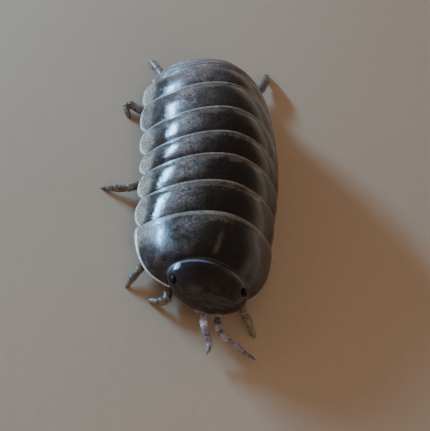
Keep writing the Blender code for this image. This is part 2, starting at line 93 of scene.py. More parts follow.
# name, rear tau, lap, lobe rounding, its power, thickness, reach
PLATES = (
    ("pereonite_1", 1, 0.00, 0.050, 6.0, PLATE_T, 1.00),
    ("pereonite_2", 2, 0.15, 0.090, 2.5, PLATE_T, 1.00),
    ("pereonite_3", 3, 0.17, 0.095, 2.4, PLATE_T, 1.00),
    ("pereonite_4", 4, 0.19, 0.095, 2.4, PLATE_T, 1.00),
    ("pereonite_5", 5, 0.15, 0.090, 2.5, PLATE_T, 1.00),
    ("pereonite_6", 6, 0.14, 0.085, 3.0, PLATE_T, 1.00),
    ("pereonite_7", 7, 0.16, 0.070, 3.6, PLATE_T, 1.00),
    ("pleonite_1", 8, 0.14, 0.0, 2.0, TAIL_T, 0.76),
    ("pleonite_2", 9, 0.35, 0.0, 2.0, TAIL_T, 0.76),
    ("pleonite_3", 10, 0.35, 0.060, 3.0, TAIL_T, 1.00),
    ("pleonite_4", 11, 0.30, 0.060, 3.0, TAIL_T, 1.00),
    ("pleonite_5", 12, 0.30, 0.060, 3.0, TAIL_T, 1.00),
)


# ---- curves and surfaces --------------------------------------------------------------
def smooth(x, lo, hi):
    t = np.clip((np.asarray(x, float) - lo) / (hi - lo), 0.0, 1.0)
    return t * t * (3.0 - 2.0 * t)


def bell(x, centre, width):
    return np.exp(-(((np.asarray(x, float) - centre) / width) ** 2))


class Track:
    def __init__(self, rows):
        a = np.array(rows, float)
        self.x, self.y = a[:, 0], a[:, 1:]
        h = np.diff(self.x)[:, None]
        d = np.diff(self.y, axis=0) / h
        m = np.zeros_like(self.y)
        w1, w2 = 2 * h[1:] + h[:-1], h[1:] + 2 * h[:-1]
        same = d[:-1] * d[1:] > 0
        with np.errstate(divide="ignore", invalid="ignore"):
            mid = (w1 + w2) / (w1 / d[:-1] + w2 / d[1:])
        m[1:-1] = np.where(same, mid, 0.0)
        m[0], m[-1] = d[0], d[-1]
        self.m = m

    def __call__(self, q):
        q = np.asarray(q, float)
        i = np.clip(np.searchsorted(self.x, q, side="right") - 1, 0, len(self.x) - 2)
        h = self.x[i + 1] - self.x[i]
        t = ((q - self.x[i]) / h)[..., None]
        h = h[..., None]
        y0, y1, m0, m1 = self.y[i], self.y[i + 1], self.m[i] * h, self.m[i + 1] * h
        return y0 * (1 + 2 * t) * (1 - t) ** 2 + m0 * t * (1 - t) ** 2 + y1 * t * t * (3 - 2 * t) + m1 * t * t * (t - 1)


TRUNK_TRACK = Track(TRUNK)
HEAD_TRACK = Track(HEAD)
SOFT = 0.16


def soft_power(s, m):
    return s * (s * s + SOFT * SOFT) ** ((m - 1) / 2) / (1 + SOFT * SOFT) ** ((m - 1) / 2)


def trunk(b, tau):
    b, tau = np.broadcast_arrays(np.asarray(b, float), np.asarray(tau, float))
    yd, zd, yc, zc, w, wrap, xd, xc = np.moveaxis(TRUNK_TRACK(tau), -1, 0)
    a = wrap * math.pi / 2
    t = b * a
    m = 2.0 / ARCH_POWER
    s = np.sin(t) / np.sin(np.minimum(a, math.pi / 2))
    cc = np.clip((np.cos(t) - np.cos(a)) / (1 - np.cos(a)), 0, 1)
    k = cc ** m
    x = w * soft_power(s, m) + xc + (xd - xc) * k
    edge = np.sin(a) / np.sin(np.minimum(a, math.pi / 2))
    x = np.where(wrap > 1, (x - xc - (xd - xc) * k) / soft_power(edge, m) + xc + (xd - xc) * k, x)
    return np.stack([x, yc + (yd - yc) * k, zc + (zd - zc) * k], -1)


def trunk_normal(b, tau):
    e = 2e-3
    b, tau = np.broadcast_arrays(np.asarray(b, float), np.asarray(tau, float))
    bb = np.clip(b, -1 + e, 1 - e)
    tt = np.clip(tau, 0 + e, 13 - e)
    n = np.cross(trunk(bb + e, tt) - trunk(bb - e, tt), trunk(bb, tt + e) - trunk(bb, tt - e))
    return n / np.linalg.norm(n, axis=-1, keepdims=True)


def shell_point(b, tau, off):
    thin = 1.0 - EDGE_THIN * smooth(np.abs(b), 0.45, 1.0)
    return trunk(b, tau) + trunk_normal(b, tau) * (np.asarray(off) * thin)[..., None]


def wave(p, scale, seed):
    """Smooth wandering value between about -1 and 1, for gentle unevenness in shape."""
    r = np.random.default_rng(seed)
    out = 0
    for i in range(5):
        d = r.normal(size=3)
        d /= np.linalg.norm(d)
        out = out + np.sin((p @ d) * scale * (1 + 0.6 * i) + r.uniform(0, 6.3)) / (1 + 0.5 * i)
    return out / 2.6


# ---- meshes ---------------------------------------------------------------------------
def signed_volume(v, faces):
    total = 0.0
    for f in faces:
        a, b, c = v[f[0]], v[f[1]], v[f[2]]
        total += float(a @ np.cross(b, c))
        if len(f) == 4:
            total += float(a @ np.cross(c, v[f[3]]))
    return total


def piece(name, verts, faces, mat, attrs=None, slot=None, replaces=(), turn=False):
    """New object in the row's frame; verts in millimetres of the shape tables."""
    v = (np.asarray(verts, float) + SHIFT) * MM
    v[:, 2] = np.maximum(v[:, 2], 0.0)
    if turn:
        faces = [tuple(reversed(f)) for f in faces]
    mesh = bpy.data.meshes.new(name)
    mesh.from_pydata(v.tolist(), [], [tuple(int(i) for i in f) for f in faces])
    mesh.update()
    for key, val in (attrs or {}).items():
        a = mesh.attributes.new(key, "FLOAT", "POINT")
        a.data.foreach_set("value", np.asarray(val, np.float32).ravel())
    mesh.materials.append(mat)
    mesh.shade_smooth()
    ob = bpy.data.objects.new(name, mesh)
    bpy.context.scene.collection.objects.link(ob)
    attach(ob, "root")
    if replaces:
        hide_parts(*replaces)
    return ob


def grid_faces(n, m, wrap=True, base=0):
    i, j = np.meshgrid(np.arange(n - 1), np.arange(m if wrap else m - 1), indexing="ij")
    a = i * m + j
    b = i * m + (j + 1) % m
    return np.stack([a, b, b + m, a + m], -1).reshape(-1, 4) + base


class Bundle:
    """Collects parts of one mesh together with their point values."""

    def __init__(self):
        self.v, self.f, self.a, self.n = [], [], {}, 0

    def add(self, verts, faces, **attrs):
        verts = np.asarray(verts, float).reshape(-1, 3)
        self.v.append(verts)
        self.f += [tuple(int(i) + self.n for i in f) for f in faces]
        for k in set(self.a) | set(attrs):
            self.a.setdefault(k, [np.zeros(self.n)] if self.n else [])
            val = attrs.get(k, 0.0)
            self.a[k].append(np.broadcast_to(np.asarray(val, float).ravel(), (len(verts),)) if np.size(val) == 1 else np.asarray(val, float).ravel())
        self.n += len(verts)

    def build(self, name, mat, **kw):
        return piece(name, np.concatenate(self.v), self.f, mat, {k: np.concatenate(x) for k, x in self.a.items()}, **kw)


# ---- node trees -----------------------------------------------------------------------
class Tree:
    def __init__(self, name):
        self.m = bpy.data.materials.new(name)
        self.m.use_nodes = True
        self.t = self.m.node_tree
        self.b = self.t.nodes["Principled BSDF"]
        self.place = self.t.nodes.new("ShaderNodeTexCoord").outputs["Object"]
        self.mm = self.vec("SCALE", self.place, scale=1000.0)

    def put(self, sock, val):
        if isinstance(val, bpy.types.NodeSocket):
            self.t.links.new(val, sock)
        elif val is not None:
            sock.default_value = val

    def vec(self, op, a, b=None, scale=None):
        n = self.t.nodes.new("ShaderNodeVectorMath")
        n.operation = op
        self.put(n.inputs[0], a)
        self.put(n.inputs[1], b)
        if scale is not None:
            self.put(n.inputs["Scale"], scale)
        return n.outputs[0]

    def attr(self, name):
        n = self.t.nodes.new("ShaderNodeAttribute")
        n.attribute_name = name
        return n.outputs["Fac"]

    def math(self, op, a, b=None, c=None, clamp=False):
        n = self.t.nodes.new("ShaderNodeMath")
        n.operation = op
        n.use_clamp = clamp
        for i, v in enumerate((a, b, c)):
            if v is not None:
                self.put(n.inputs[i], v)
        return n.outputs[0]

    def step(self, x, lo, hi, to_lo=0.0, to_hi=1.0):
        n = self.t.nodes.new("ShaderNodeMapRange")
        n.interpolation_type = "SMOOTHSTEP"
        self.put(n.inputs["Value"], x)
        for k, v in (("From Min", lo), ("From Max", hi), ("To Min", to_lo), ("To Max", to_hi)):
            self.put(n.inputs[k], v)
        return n.outputs["Result"]

    def mix(self, fac, a, b, mode="MIX"):
        n = self.t.nodes.new("ShaderNodeMix")
        n.data_type = "RGBA"
        n.blend_type = mode
        self.put(n.inputs[0], fac)
        for s, v in ((n.inputs[6], a), (n.inputs[7], b)):
            self.put(s, (*v, 1.0) if isinstance(v, tuple) and len(v) == 3 else v)
        return n.outputs[2]

    def noise(self, scale, detail=3.0, rough=0.55, vec=None, warp=0.0):
        n = self.t.nodes.new("ShaderNodeTexNoise")
        self.put(n.inputs["Vector"], vec or self.mm)
        n.inputs["Scale"].default_value = scale
        n.inputs["Detail"].default_value = detail
        n.inputs["Roughness"].default_value = rough
        n.inputs["Distortion"].default_value = warp
        return n.outputs[0]

    def cells(self, scale, feature="F1", vec=None, smoothness=0.3):
        n = self.t.nodes.new("ShaderNodeTexVoronoi")
        n.feature = feature
        self.put(n.inputs["Vector"], vec or self.mm)
        n.inputs["Scale"].default_value = scale
        if feature == "SMOOTH_F1":
            n.inputs["Smoothness"].default_value = smoothness
        return n.outputs["Distance"]

    def bump(self, height, distance, strength=1.0, normal=None):
        n = self.t.nodes.new("ShaderNodeBump")
        n.inputs["Strength"].default_value = strength
        n.inputs["Distance"].default_value = distance
        self.put(n.inputs["Height"], height)
        if normal is not None:
            self.put(n.inputs["Normal"], normal)
        return n.outputs[0]

    def out(self, colour=None, rough=None, normal=None, **fixed):
        self.put(self.b.inputs["Base Color"], colour)
        self.put(self.b.inputs["Roughness"], rough)
        self.put(self.b.inputs["Normal"], normal)
        for k, v in fixed.items():
            self.b.inputs[k.replace("_", " ")].default_value = v
        return self.m


def shell_material(name, offset, tone, dull):
    """Horn plate: dark brown-grey, mottled, with pale rims and paler thin side lobes."""
    t = Tree(name)

    def shade(r, g, b):
        return (r * tone, g * tone, b * tone)

    p = t.vec("ADD", t.mm, (offset * 3.1, offset * 1.7, offset * 2.3))
    right, rim, lobe, para = t.attr("right"), t.attr("rim"), t.attr("lobe"), t.attr("para")
    edge, dark, left, front = t.attr("edge"), t.attr("dark"), t.attr("left"), t.attr("front")
    coarse = t.noise(0.75, 4.0, 0.60, p, 0.4)
    mid = t.noise(2.2, 4.0, 0.62, p, 0.6)
    fine = t.noise(9.0, 3.0, 0.6, p)
    grain = t.noise(34.0, 2.0, 0.5, p)
    # ground colour, then paler flanks that are partly painted sheen, and a band of painted sheen beside the window
    # highlight
    base = t.mix(t.step(coarse, 0.36, 0.66), shade(0.0078, 0.0052, 0.0051), shade(0.0212, 0.0138, 0.0118))
    base = t.mix(t.math("MULTIPLY", t.step(mid, 0.45, 0.72), 0.45), base, shade(0.038, 0.027, 0.019))
    # paler brown on the animal's left flank: partly its own colour, partly painted sheen of the floor's reflection
    base = t.mix(t.math("MULTIPLY", left, t.step(mid, 0.25, 0.75, 0.45, 1.0)), base, (0.078, 0.058, 0.047))
    # paler mottled grey on the animal's right flank: partly pale marks, partly painted sheen of the window light
    base = t.mix(t.math("MULTIPLY", right, t.step(mid, 0.34, 0.66, 0.15, 0.95)), base, t.mix(t.step(fine, 0.32, 0.62), (0.085, 0.066, 0.062), (0.215, 0.182, 0.176)))
    # painted sheen: a pale mottled band beside the window highlight
    base = t.mix(t.math("MULTIPLY", t.attr("painted_sheen"), t.step(mid, 0.30, 0.62, 0.35, 1.0)), base, t.mix(t.step(fine, 0.32, 0.62), (0.150, 0.110, 0.098), (0.350, 0.272, 0.245)))
    # dark middle band; on plate 1 this mask also holds painted shade along the front margin by the head
    base = t.mix(t.math("MULTIPLY", dark, 0.72), base, shade(0.0042, 0.0032, 0.0034))
    # pale marks that hang from the rear rim over the muscle fields
    spots = t.math("ADD", t.math("MULTIPLY", para, 0.62), t.math("MULTIPLY", mid, 0.85))
    spots = t.step(t.math("ADD", spots, t.math("MULTIPLY", fine, 0.25)), 0.86, 1.12)
    base = t.mix(t.math("MULTIPLY", spots, 0.80), base, (0.150, 0.114, 0.084))
    # side lobes: thin pale horn with a darker core
    patch = t.math("MULTIPLY", t.step(t.noise(2.6, 3.0, 0.5, p, 0.3), 0.30, 0.50, 0.55, 1.0), t.attr("core"))
    lobes = t.mix(t.step(t.math("ADD", t.math("MULTIPLY", fine, 0.6), t.math("MULTIPLY", mid, 0.4)), 0.38, 0.62), (0.290, 0.200, 0.140), (0.620, 0.465, 0.345))
    base = t.mix(lobe, base, lobes)
    base = t.mix(t.math("MULTIPLY", patch, 0.92), base, (0.010, 0.007, 0.006))
    # rims
    broken = t.step(t.noise(4.4, 4.0, 0.66, p), 0.26, 0.62, 0.32, 1.0)
    base = t.mix(t.math("MULTIPLY", rim, broken), base, (0.330, 0.270, 0.226))
    base = t.mix(edge, base, (0.940, 0.880, 0.830))
    base = t.mix(t.math("MULTIPLY", t.attr("streak"), t.step(mid, 0.30, 0.60, 0.5, 1.0)), base, (0.125, 0.102, 0.070))
    # pores and grain
    pores = t.cells(7.5, "F1", p)
    pit = t.step(pores, 0.05, 0.20)
    base = t.mix(t.math("MULTIPLY", t.math("SUBTRACT", 1.0, pit), 0.35), base, (0.002, 0.0016, 0.0016))
    speck = t.noise(11.0, 3.0, 0.7, p, 0.5)
    fleck = t.step(t.noise(7.0, 4.0, 0.75, t.vec("ADD", p, (3.0, 8.0, 1.0)), 0.3), 0.52, 0.66, 0.0, 0.55)
    base = t.mix(fleck, base, t.mix(0.5, t.mix(1.0, base, (2.2, 1.9, 1.8), "MULTIPLY"), shade(0.030, 0.020, 0.017)))
    base = t.mix(t.step(speck, 0.40, 0.62, 0.0, 0.75), base, t.mix(1.0, base, (0.42, 0.38, 0.36), "MULTIPLY"))
    base = t.mix(t.step(grain, 0.35, 0.65, 0.0, 0.30), base, t.mix(1.0, base, (1.9, 1.8, 1.7), "MULTIPLY"))
    # painted shade where each plate runs under the rim of the plate in front
    base = t.mix(t.math("MULTIPLY", front, 0.35), base, (0.004, 0.0032, 0.0032))
    rough = t.math("ADD", t.step(mid, 0.30, 0.70, 0.14 + dull, 0.21 + dull), t.math("MULTIPLY", t.math("ADD", rim, lobe), 0.12))
    rough = t.math("SUBTRACT", rough, t.math("MULTIPLY", t.attr("core"), 0.07), clamp=True)
    rough = t.math("ADD", rough, t.math("MULTIPLY", t.math("MAXIMUM", t.attr("matt"), left), t.step(fine, 0.30, 0.65, 0.14, 0.26)))
    n = t.bump(pit, 0.000006, 0.50)
    n = t.bump(fine, 0.000007, 0.60, n)
    n = t.bump(grain, 0.0000016, 0.50, n)
    n = t.bump(mid, 0.000022, 0.40, n)
    return t.out(base, rough, n, Coat_Weight=0.12, Coat_Roughness=0.10, Coat_IOR=1.5, IOR=1.5, Specular_IOR_Level=0.42)


def head_material():
    t = Tree("head_horn")
    coarse = t.noise(0.9, 3.0, 0.6, None, 0.3)
    mid = t.noise(2.6, 4.0, 0.6, None, 0.5)
    fine = t.noise(11.0, 3.0, 0.6)
    grain = t.noise(40.0, 2.0, 0.5)
    base = t.mix(t.step(coarse, 0.35, 0.65), (0.0105, 0.0072, 0.0076), (0.0210, 0.0140, 0.0132))
    # lighter blue-grey on the side of the head facing the window: partly slate colour, partly painted sheen
    base = t.mix(t.math("MULTIPLY", t.attr("slate_and_sheen"), t.step(mid, 0.25, 0.7, 0.35, 0.95)), base, (0.030, 0.026, 0.032))
    base = t.mix(t.math("MULTIPLY", t.attr("rust"), t.step(mid, 0.3, 0.7, 0.2, 0.8)), base, (0.034, 0.0160, 0.0130))
    freck = t.step(t.cells(3.4, "F1", t.vec("ADD", t.mm, (2.0, 5.0, 1.0))), 0.10, 0.30)
    base = t.mix(t.math("MULTIPLY", t.math("SUBTRACT", 1.0, freck), t.step(mid, 0.4, 0.7, 0.0, 0.5)), base, (0.030, 0.024, 0.020))
    fleck = t.step(t.noise(8.0, 4.0, 0.75, None, 0.3), 0.52, 0.66, 0.0, 0.5)
    base = t.mix(fleck, base, t.mix(1.0, base, (2.4, 1.9, 1.8), "MULTIPLY"))
    # pale rear rim of the head: partly pale horn, partly painted highlight, strongest on the side facing the window
    # light
    base = t.mix(t.attr("pale"), base, (0.200, 0.205, 0.230))
    # painted highlight: a pale spot on the head's rear corner where the window light glints
    base = t.mix(t.attr("glint"), base, (0.780, 0.860, 0.960))
    base = t.mix(t.attr("skin"), base, (0.30, 0.24, 0.20))
    pores = t.step(t.cells(8.5), 0.05, 0.22)
    base = t.mix(t.math("MULTIPLY", t.math("SUBTRACT", 1.0, pores), 0.4), base, (0.006, 0.005, 0.006))
    base = t.mix(t.step(grain, 0.35, 0.65, 0.0, 0.2), base, t.mix(1.0, base, (1.7, 1.65, 1.65), "MULTIPLY"))
    n = t.bump(pores, 0.000005, 0.5)
    n = t.bump(fine, 0.000007, 0.6, n)
    n = t.bump(grain, 0.0000016, 0.5, n)
    n = t.bump(mid, 0.000018, 0.4, n)
    rough = t.step(mid, 0.3, 0.7, 0.22, 0.32)
    return t.out(base, rough, n, Coat_Weight=0.08, Coat_Roughness=0.10, IOR=1.5, Specular_IOR_Level=0.42)


def eye_material():
    t = Tree("eye_black")
    lens = t.attr("lens")
    base = t.mix(lens, (0.010, 0.009, 0.011), (0.0035, 0.0035, 0.0050))
    fine = t.noise(30.0, 2.0)
    base = t.mix(t.step(fine, 0.4, 0.7, 0.0, 0.4), base, (0.012, 0.010, 0.016))
    rough = t.step(lens, 0.1, 0.8, 0.50, 0.30)
    return t.out(base, rough, t.bump(fine, 0.000004, 0.4), Coat_Weight=0.03, Coat_Roughness=0.2, IOR=1.5, Specular_IOR_Level=0.22)


def limb_material(name, low, high, joint, tip, pale):
    t = Tree(name)
    mid = t.noise(3.2, 4.0, 0.62, None, 0.6)
    fine = t.noise(13.0, 3.0, 0.6)
    grain = t.noise(45.0, 2.0, 0.5)
    base = t.mix(t.step(mid, 0.33, 0.66), low, high)
    base = t.mix(t.step(t.noise(6.5, 2.0, 0.6, None, 0.8), 0.56, 0.70, 0.0, 0.65), base, pale)
    base = t.mix(t.attr("joint"), base, joint)
    base = t.mix(t.attr("tip"), base, tip)
    # painted shade: limbs darkened to stand in for shadow, most of all the far hind leg and the left feeler's base
    base = t.mix(t.attr("dusk"), base, t.mix(1.0, base, (0.16, 0.12, 0.11), "MULTIPLY"))
    # painted highlight on the right feeler near its base
    base = t.mix(t.attr("bright"), base, (0.94, 0.92, 1.0))
    base = t.mix(t.step(grain, 0.35, 0.65, 0.0, 0.25), base, t.mix(1.0, base, (1.6, 1.6, 1.6), "MULTIPLY"))
    n = t.bump(fine, 0.00002, 0.6)
    n = t.bump(grain, 0.000006, 0.5, n)
    return t.out(base, t.step(mid, 0.3, 0.7, 0.26, 0.42), n, Coat_Weight=0.25, Coat_Roughness=0.2, IOR=1.48, Subsurface_Weight=0.12, Subsurface_Scale=0.0002)


def skin_material():
    t = Tree("underside_skin")
    mid = t.noise(2.0, 4.0, 0.6, None, 0.5)
    fine = t.noise(12.0, 3.0, 0.6)
    base = t.mix(t.step(mid, 0.32, 0.68), (0.300, 0.262, 0.215), (0.450, 0.410, 0.350))
    base = t.mix(t.attr("fold"), base, (0.200, 0.165, 0.135))
    base = t.mix(t.math("MULTIPLY", t.attr("plate"), t.step(fine, 0.3, 0.7, 0.6, 1.0)), base, (0.50, 0.47, 0.42))
    base = t.mix(t.attr("lung"), base, (0.86, 0.86, 0.84))
    n = t.bump(fine, 0.00003, 0.6)
    n = t.bump(mid, 0.00006, 0.5, n)
    return t.out(base, t.step(fine, 0.3, 0.7, 0.40, 0.60), n, IOR=1.42, Subsurface_Weight=0.2, Subsurface_Scale=0.0003)


def floor_material():
    t = Tree("floor_pale")
    soft = t.noise(0.02, 3.0, 0.5)
    fine = t.noise(1.6, 4.0, 0.6)
    base = t.mix(t.step(soft, 0.3, 0.7), (0.680, 0.475, 0.320), (0.730, 0.520, 0.360))
    base = t.mix(t.step(fine, 0.3, 0.7, 0.0, 0.10), base, (0.52, 0.40, 0.29))
    return t.out(base, 0.75, t.bump(fine, 0.00004, 0.35), IOR=1.4)


TONES = ((1.4, 0.04), (1.5, 0.0), (1.7, 0.0), (1.6, 0.0), (2.0, 0.0), (3.0, 0.02), (7.5, 0.06), (17.0, 0.16), (19.0, 0.20), (19.0, 0.22), (19.0, 0.22), (19.0, 0.22), (19.0, 0.22))
SHELL = [shell_material("horn_plate_%d" % i, i * 1.37 + 0.4, *TONES[i]) for i in range(13)]
HEAD_MAT = head_material()
EYE_MAT = eye_material()
LEG_MAT = limb_material("limb_horn", (0.135, 0.098, 0.070), (0.350, 0.272, 0.205), (0.350, 0.260, 0.180), (0.070, 0.042, 0.026), (0.560, 0.470, 0.370))
FEELER_MAT = limb_material("feeler_horn", (0.170, 0.128, 0.155), (0.430, 0.360, 0.430), (0.200, 0.110, 0.080), (0.110, 0.075, 0.085), (0.800, 0.740, 0.790))
SKIN_MAT = skin_material()


# ---- plates ---------------------------------------------------------------------------
def ease(n, power):
    s = np.linspace(-1, 1, n)
    return np.sign(s) * (1 - (1 - np.abs(s)) ** power)


def outer_profile(rear, lap):
    """Front to rear run of (tau, offset, v) over a plate's outer face."""
    f = rear - 1.0
    if rear == 1:
        c = [(0.0, -0.105), (0.008, -0.080), (0.022, -0.052), (0.050, -0.026), (0.090, -0.006), (0.16, 0.016), (0.40, 0.040), (0.62, 0.044), (0.80, 0.028), (0.890, 0.014), (0.930, 0.026), (0.965, 0.028), (0.99, 0.014), (1.0, -0.006)]
    elif rear <= 7:
        c = [(-lap, -0.17), (-0.5 * lap, -0.140), (0.0, -0.100), (0.14, -0.040), (0.30, 0.015), (0.50, 0.046), (0.70, 0.038), (0.84, 0.012), (0.895, 0.004), (0.930, 0.022), (0.962, 0.026), (0.988, 0.014), (1.0, -0.006)]
    else:
        c = [(-lap, -0.17), (-0.5 * lap, -0.145), (0.0, -0.110), (0.16, -0.03), (0.45, 0.024), (0.72, 0.020), (0.83, 0.008), (0.88, 0.018), (0.93, 0.040), (0.975, 0.036), (1.0, 0.005)]
    run = Track([(i, v, o) for i, (v, o) in enumerate(c)])
    per = 5
    q = np.linspace(0, len(c) - 1, (len(c) - 1) * per + 1)
    r = run(q)
    return r[:, 0] + f, r[:, 1], r[:, 0]


def make_plate(k, columns=230):
    name, rear, lap, delta, power, thick, reach = PLATES[k]
    next_lap = PLATES[k + 1][2] if k + 1 < len(PLATES) else 0.30
    f = rear - 1.0
    tau_o, off_o, v_o = outer_profile(rear, lap)
    tail = rear > 7
    step = rear - next_lap - (0.05 if not tail else 0.08)
    front = 0.0 if rear == 1 else f - lap
    inner = [(rear + 0.004, -0.015), (rear + 0.004, -0.055), (rear, -0.07), (step, -0.115), (step - 0.02, -thick)]
    inner += [(step - 0.02 + (front - step + 0.02) * (i + 1) / 8, -thick) for i in range(8)]
    if rear == 1:
        inner = inner[:-3] + [(0.20, -0.34), (0.10, -0.20), (0.04, -0.13), (0.0, -0.12)]
    tau_i, off_i = np.array(inner).T
    tau = np.concatenate([tau_o, tau_i])
    off = np.concatenate([off_o, off_i])
    v = np.concatenate([v_o, tau_i - f])
    is_out = np.concatenate([np.ones(len(tau_o)), np.zeros(len(tau_i))])
    count = len(tau)
    u = ease(columns, 1.5)[:, None]
    t = 2 * v - 1
    if rear == 1:
        t = np.where(t < 0, 0, t)
    end = 1 - delta * np.abs(t) ** power
    b = reach * u * (1 - (1 - end)[None] * np.abs(u) ** 6)
    tau2 = np.repeat(tau[None], columns, 0)
    off2 = np.repeat(off[None], columns, 0)
    v2 = np.repeat(v[None], columns, 0)
    if name == "pleonite_3":
        g = smooth(np.abs(b), 0.68, 0.78)
        w = smooth(-v2, -0.001, 0.30)
        tau2 = tau2 + g * np.where(v2 < 0.001, (7.02 - 0.12 * w) - tau2, 0.0)
    au = np.abs(u)
    # raised lateral border, then the rounded free edge
    border = bell(au, 0.965, 0.016 if rear == 1 else 0.012) * (0.070 if rear == 1 else 0.022)
    off2 = off2 + border * is_out
    if reach < 1:
        off2 = off2 - 0.05 * smooth(np.abs(b), 0.585, 0.70)
    if rear == 1:
        off2 = off2 - 0.065 * smooth(np.abs(b), 0.34, 0.52) * (1 - smooth(np.abs(b), 0.80, 0.93)) * (1 - smooth(v2, 0.10, 0.68)) * smooth(v2, -0.02, 0.06)
    e = np.sqrt(1 - np.clip((au - 0.972) / 0.028, 0, 1) ** 2)
    middle = -0.5 * thick * 0.8
    off2 = middle + (off2 - middle) * e
    pts = shell_point(b, tau2, off2)
    n = trunk_normal(b, tau2)
    pts = pts + n * (is_out * 0.006 * wave(pts, 3.0, 11 + k) * (1 - smooth(au, 0.9, 1.0)))[..., None]
    verts = pts.reshape(-1, 3)
    faces = [tuple(q) for q in grid_faces(columns, count)]
    faces.append(tuple(range(count))[::-1])
    faces.append(tuple((columns - 1) * count + j for j in range(count)))
    # point values that steer the colours
    bb = b
    A = {}
    A["rim"] = smooth(v2, 0.892, 0.928) * (1 - 0.5 * smooth(v2, 0.985, 1.0)) * (0.55 + 0.45 * smooth(-bb, -0.75, 0.4))
    # right flank, partly pale marks and partly painted sheen
    right = smooth(-bb, 0.16, 0.46) * (0.45 + 0.55 * smooth(v2, 0.25, 0.85))
    A["right"] = right * (0.85 if rear > 1 else 0.45)
    # painted sheen beside the window highlight
    A["painted_sheen"] = bell(bb, -0.50, 0.13) * smooth(v2, 0.10, 0.35) * (0.95 if rear > 1 else 0.0)
    # left flank, partly its own colour and partly painted sheen
    A["left"] = smooth(bb, 0.48, 0.86) * 0.9
    lobe_from = 0.748 if 1 < rear <= 7 else 1.5
    wob = 0.03 * wave(pts, 2.2, 40 + k)
    round_in = 0.060 * np.clip(np.abs(v2 - 0.50) / 0.5, 0, 1.1) ** 2.2
    A["lobe"] = smooth(np.abs(bb) + 0.4 * wob - round_in, lobe_from, lobe_from + 0.075) * (0.50 if rear == 6 else 0.96)
    A["core"] = smooth(np.abs(bb) + 0.5 * wob, 0.655, 0.70) * (1 - smooth(np.abs(bb) + wob - round_in, 0.765, 0.875)) * (1 - 0.75 * smooth(v2 + wob, 0.55, 0.82)) * (1 if 1 < rear <= 7 else 0)
    A["para"] = smooth(v2, 0.42, 0.90) * (bell(bb, -0.27, 0.20) + 0.9 * bell(bb, 0.33, 0.27) + 0.5 * bell(bb, 0.04, 0.12))
    A["dark"] = smooth(1 - np.abs(bb - 0.10) / 0.42, 0.0, 0.8) * (1 - 0.8 * smooth(v2, 0.62, 0.92))
    # painted shade under the rim of the plate in front
    A["front"] = 1 - smooth(v2, 0.02, 0.16)
    A["streak"] = np.zeros_like(bb)
    A["matt"] = np.zeros_like(bb)
    A["edge"] = smooth(au, 0.926 if rear == 1 else 0.948, 0.946 if rear == 1 else 0.966) * np.ones_like(bb) * ((0.9 - 0.55 * smooth(bb, -0.2, 0.2)) if rear == 1 else 0.72)
    if rear == 1:
        A["front"] = np.zeros_like(bb)
        A["rim"] = np.maximum(A["rim"], (1 - smooth(v2, 0.012, 0.035)) * 0.16)
        A["streak"] = bell(bb, 0.035, 0.030) * smooth(v2, 0.08, 0.22) * (1 - smooth(v2, 0.50, 0.72))
        A["streak"] = np.maximum(A["streak"], 0.8 * bell(bb + 0.25 * (v2 - 0.3), -0.31, 0.028) * bell(v2, 0.30, 0.12))
        A["dark"] = bell(bb, 0.12, 0.22) * (1 - 0.7 * smooth(v2, 0.70, 0.92)) * 0.95
        A["para"] = smooth(v2, 0.60, 0.92) * (bell(bb, -0.10, 0.40) + 0.6 * bell(bb, -0.75, 0.2))
        # plate 1's right side, partly pale marks and partly painted sheen
        A["right"] = smooth(-bb, 0.10, 0.38) * (0.42 + 0.33 * smooth(v2, 0.55, 0.80))
        # plate 1's left side, partly its own colour and partly painted sheen
        A["left"] = smooth(bb, 0.42, 0.80) * 0.95
        # weaker painted sheen on plate 1
        A["painted_sheen"] = 0.35 * bell(bb, -0.36, 0.14) * smooth(v2, 0.45, 0.75)
        A["matt"] = 0.35 * smooth(-bb, 0.30, 0.48) * (1 - smooth(v2, 0.60, 0.70))
        A["lobe"] = 0.75 * smooth(-bb, 0.60, 0.74) * smooth(v2 + 0.5 * wob, 0.56, 0.80)
        # painted shade on plate 1's front margin, in the crease by the head
        A["dark"] = np.maximum(A["dark"], 0.8 * (1 - smooth(v2, 0.04, 0.30)))
    for key in A:
        A[key] = np.broadcast_to(A[key], bb.shape) * (is_out if key not in ("edge", "lobe") else 1.0)
    return piece(name + "_plate", verts, faces, SHELL[k], A, slot="shell", replaces=(name,), turn=True)


for k in range(len(PLATES)):
    make_plate(k)


# ---- telson and tail feet ---------------------------------------------------------------
def slab(tau0, tau1, lo, hi, top, bottom, nb, nt, crown):
    """Curved plate with a rounded rim on the trunk's surface."""
    s = np.linspace(0, 1, nb)[:, None]
    q = np.linspace(0, 1, nt)
    e = np.minimum(np.minimum(s, 1 - s) * 9, np.minimum(1 - q, 1)[None] * 9)
    e = np.sqrt(np.clip(1 - (1 - np.clip(e, 0, 1)) ** 2, 0, 1))
    rows = []
    for side in (0, 1):
        qq = q if side == 0 else q[::-1]
        ee = e if side == 0 else e[:, ::-1]
        tau = np.repeat((tau0 + (tau1 - tau0) * qq)[None], nb, 0)
        b = lo(tau) + (hi(tau) - lo(tau)) * s
        mid = (top + bottom) / 2
        off = (top + crown * np.sin(math.pi * s)) if side == 0 else bottom
        rows.append(shell_point(b, tau, mid + (off - mid) * ee))
    pts = np.concatenate(rows, 1)
    faces = [tuple(f) for f in grid_faces(nb, 2 * nt)]
    faces.append(tuple(range(2 * nt))[::-1])
    faces.append(tuple((nb - 1) * 2 * nt + j for j in range(2 * nt)))
    return pts, faces, s, q


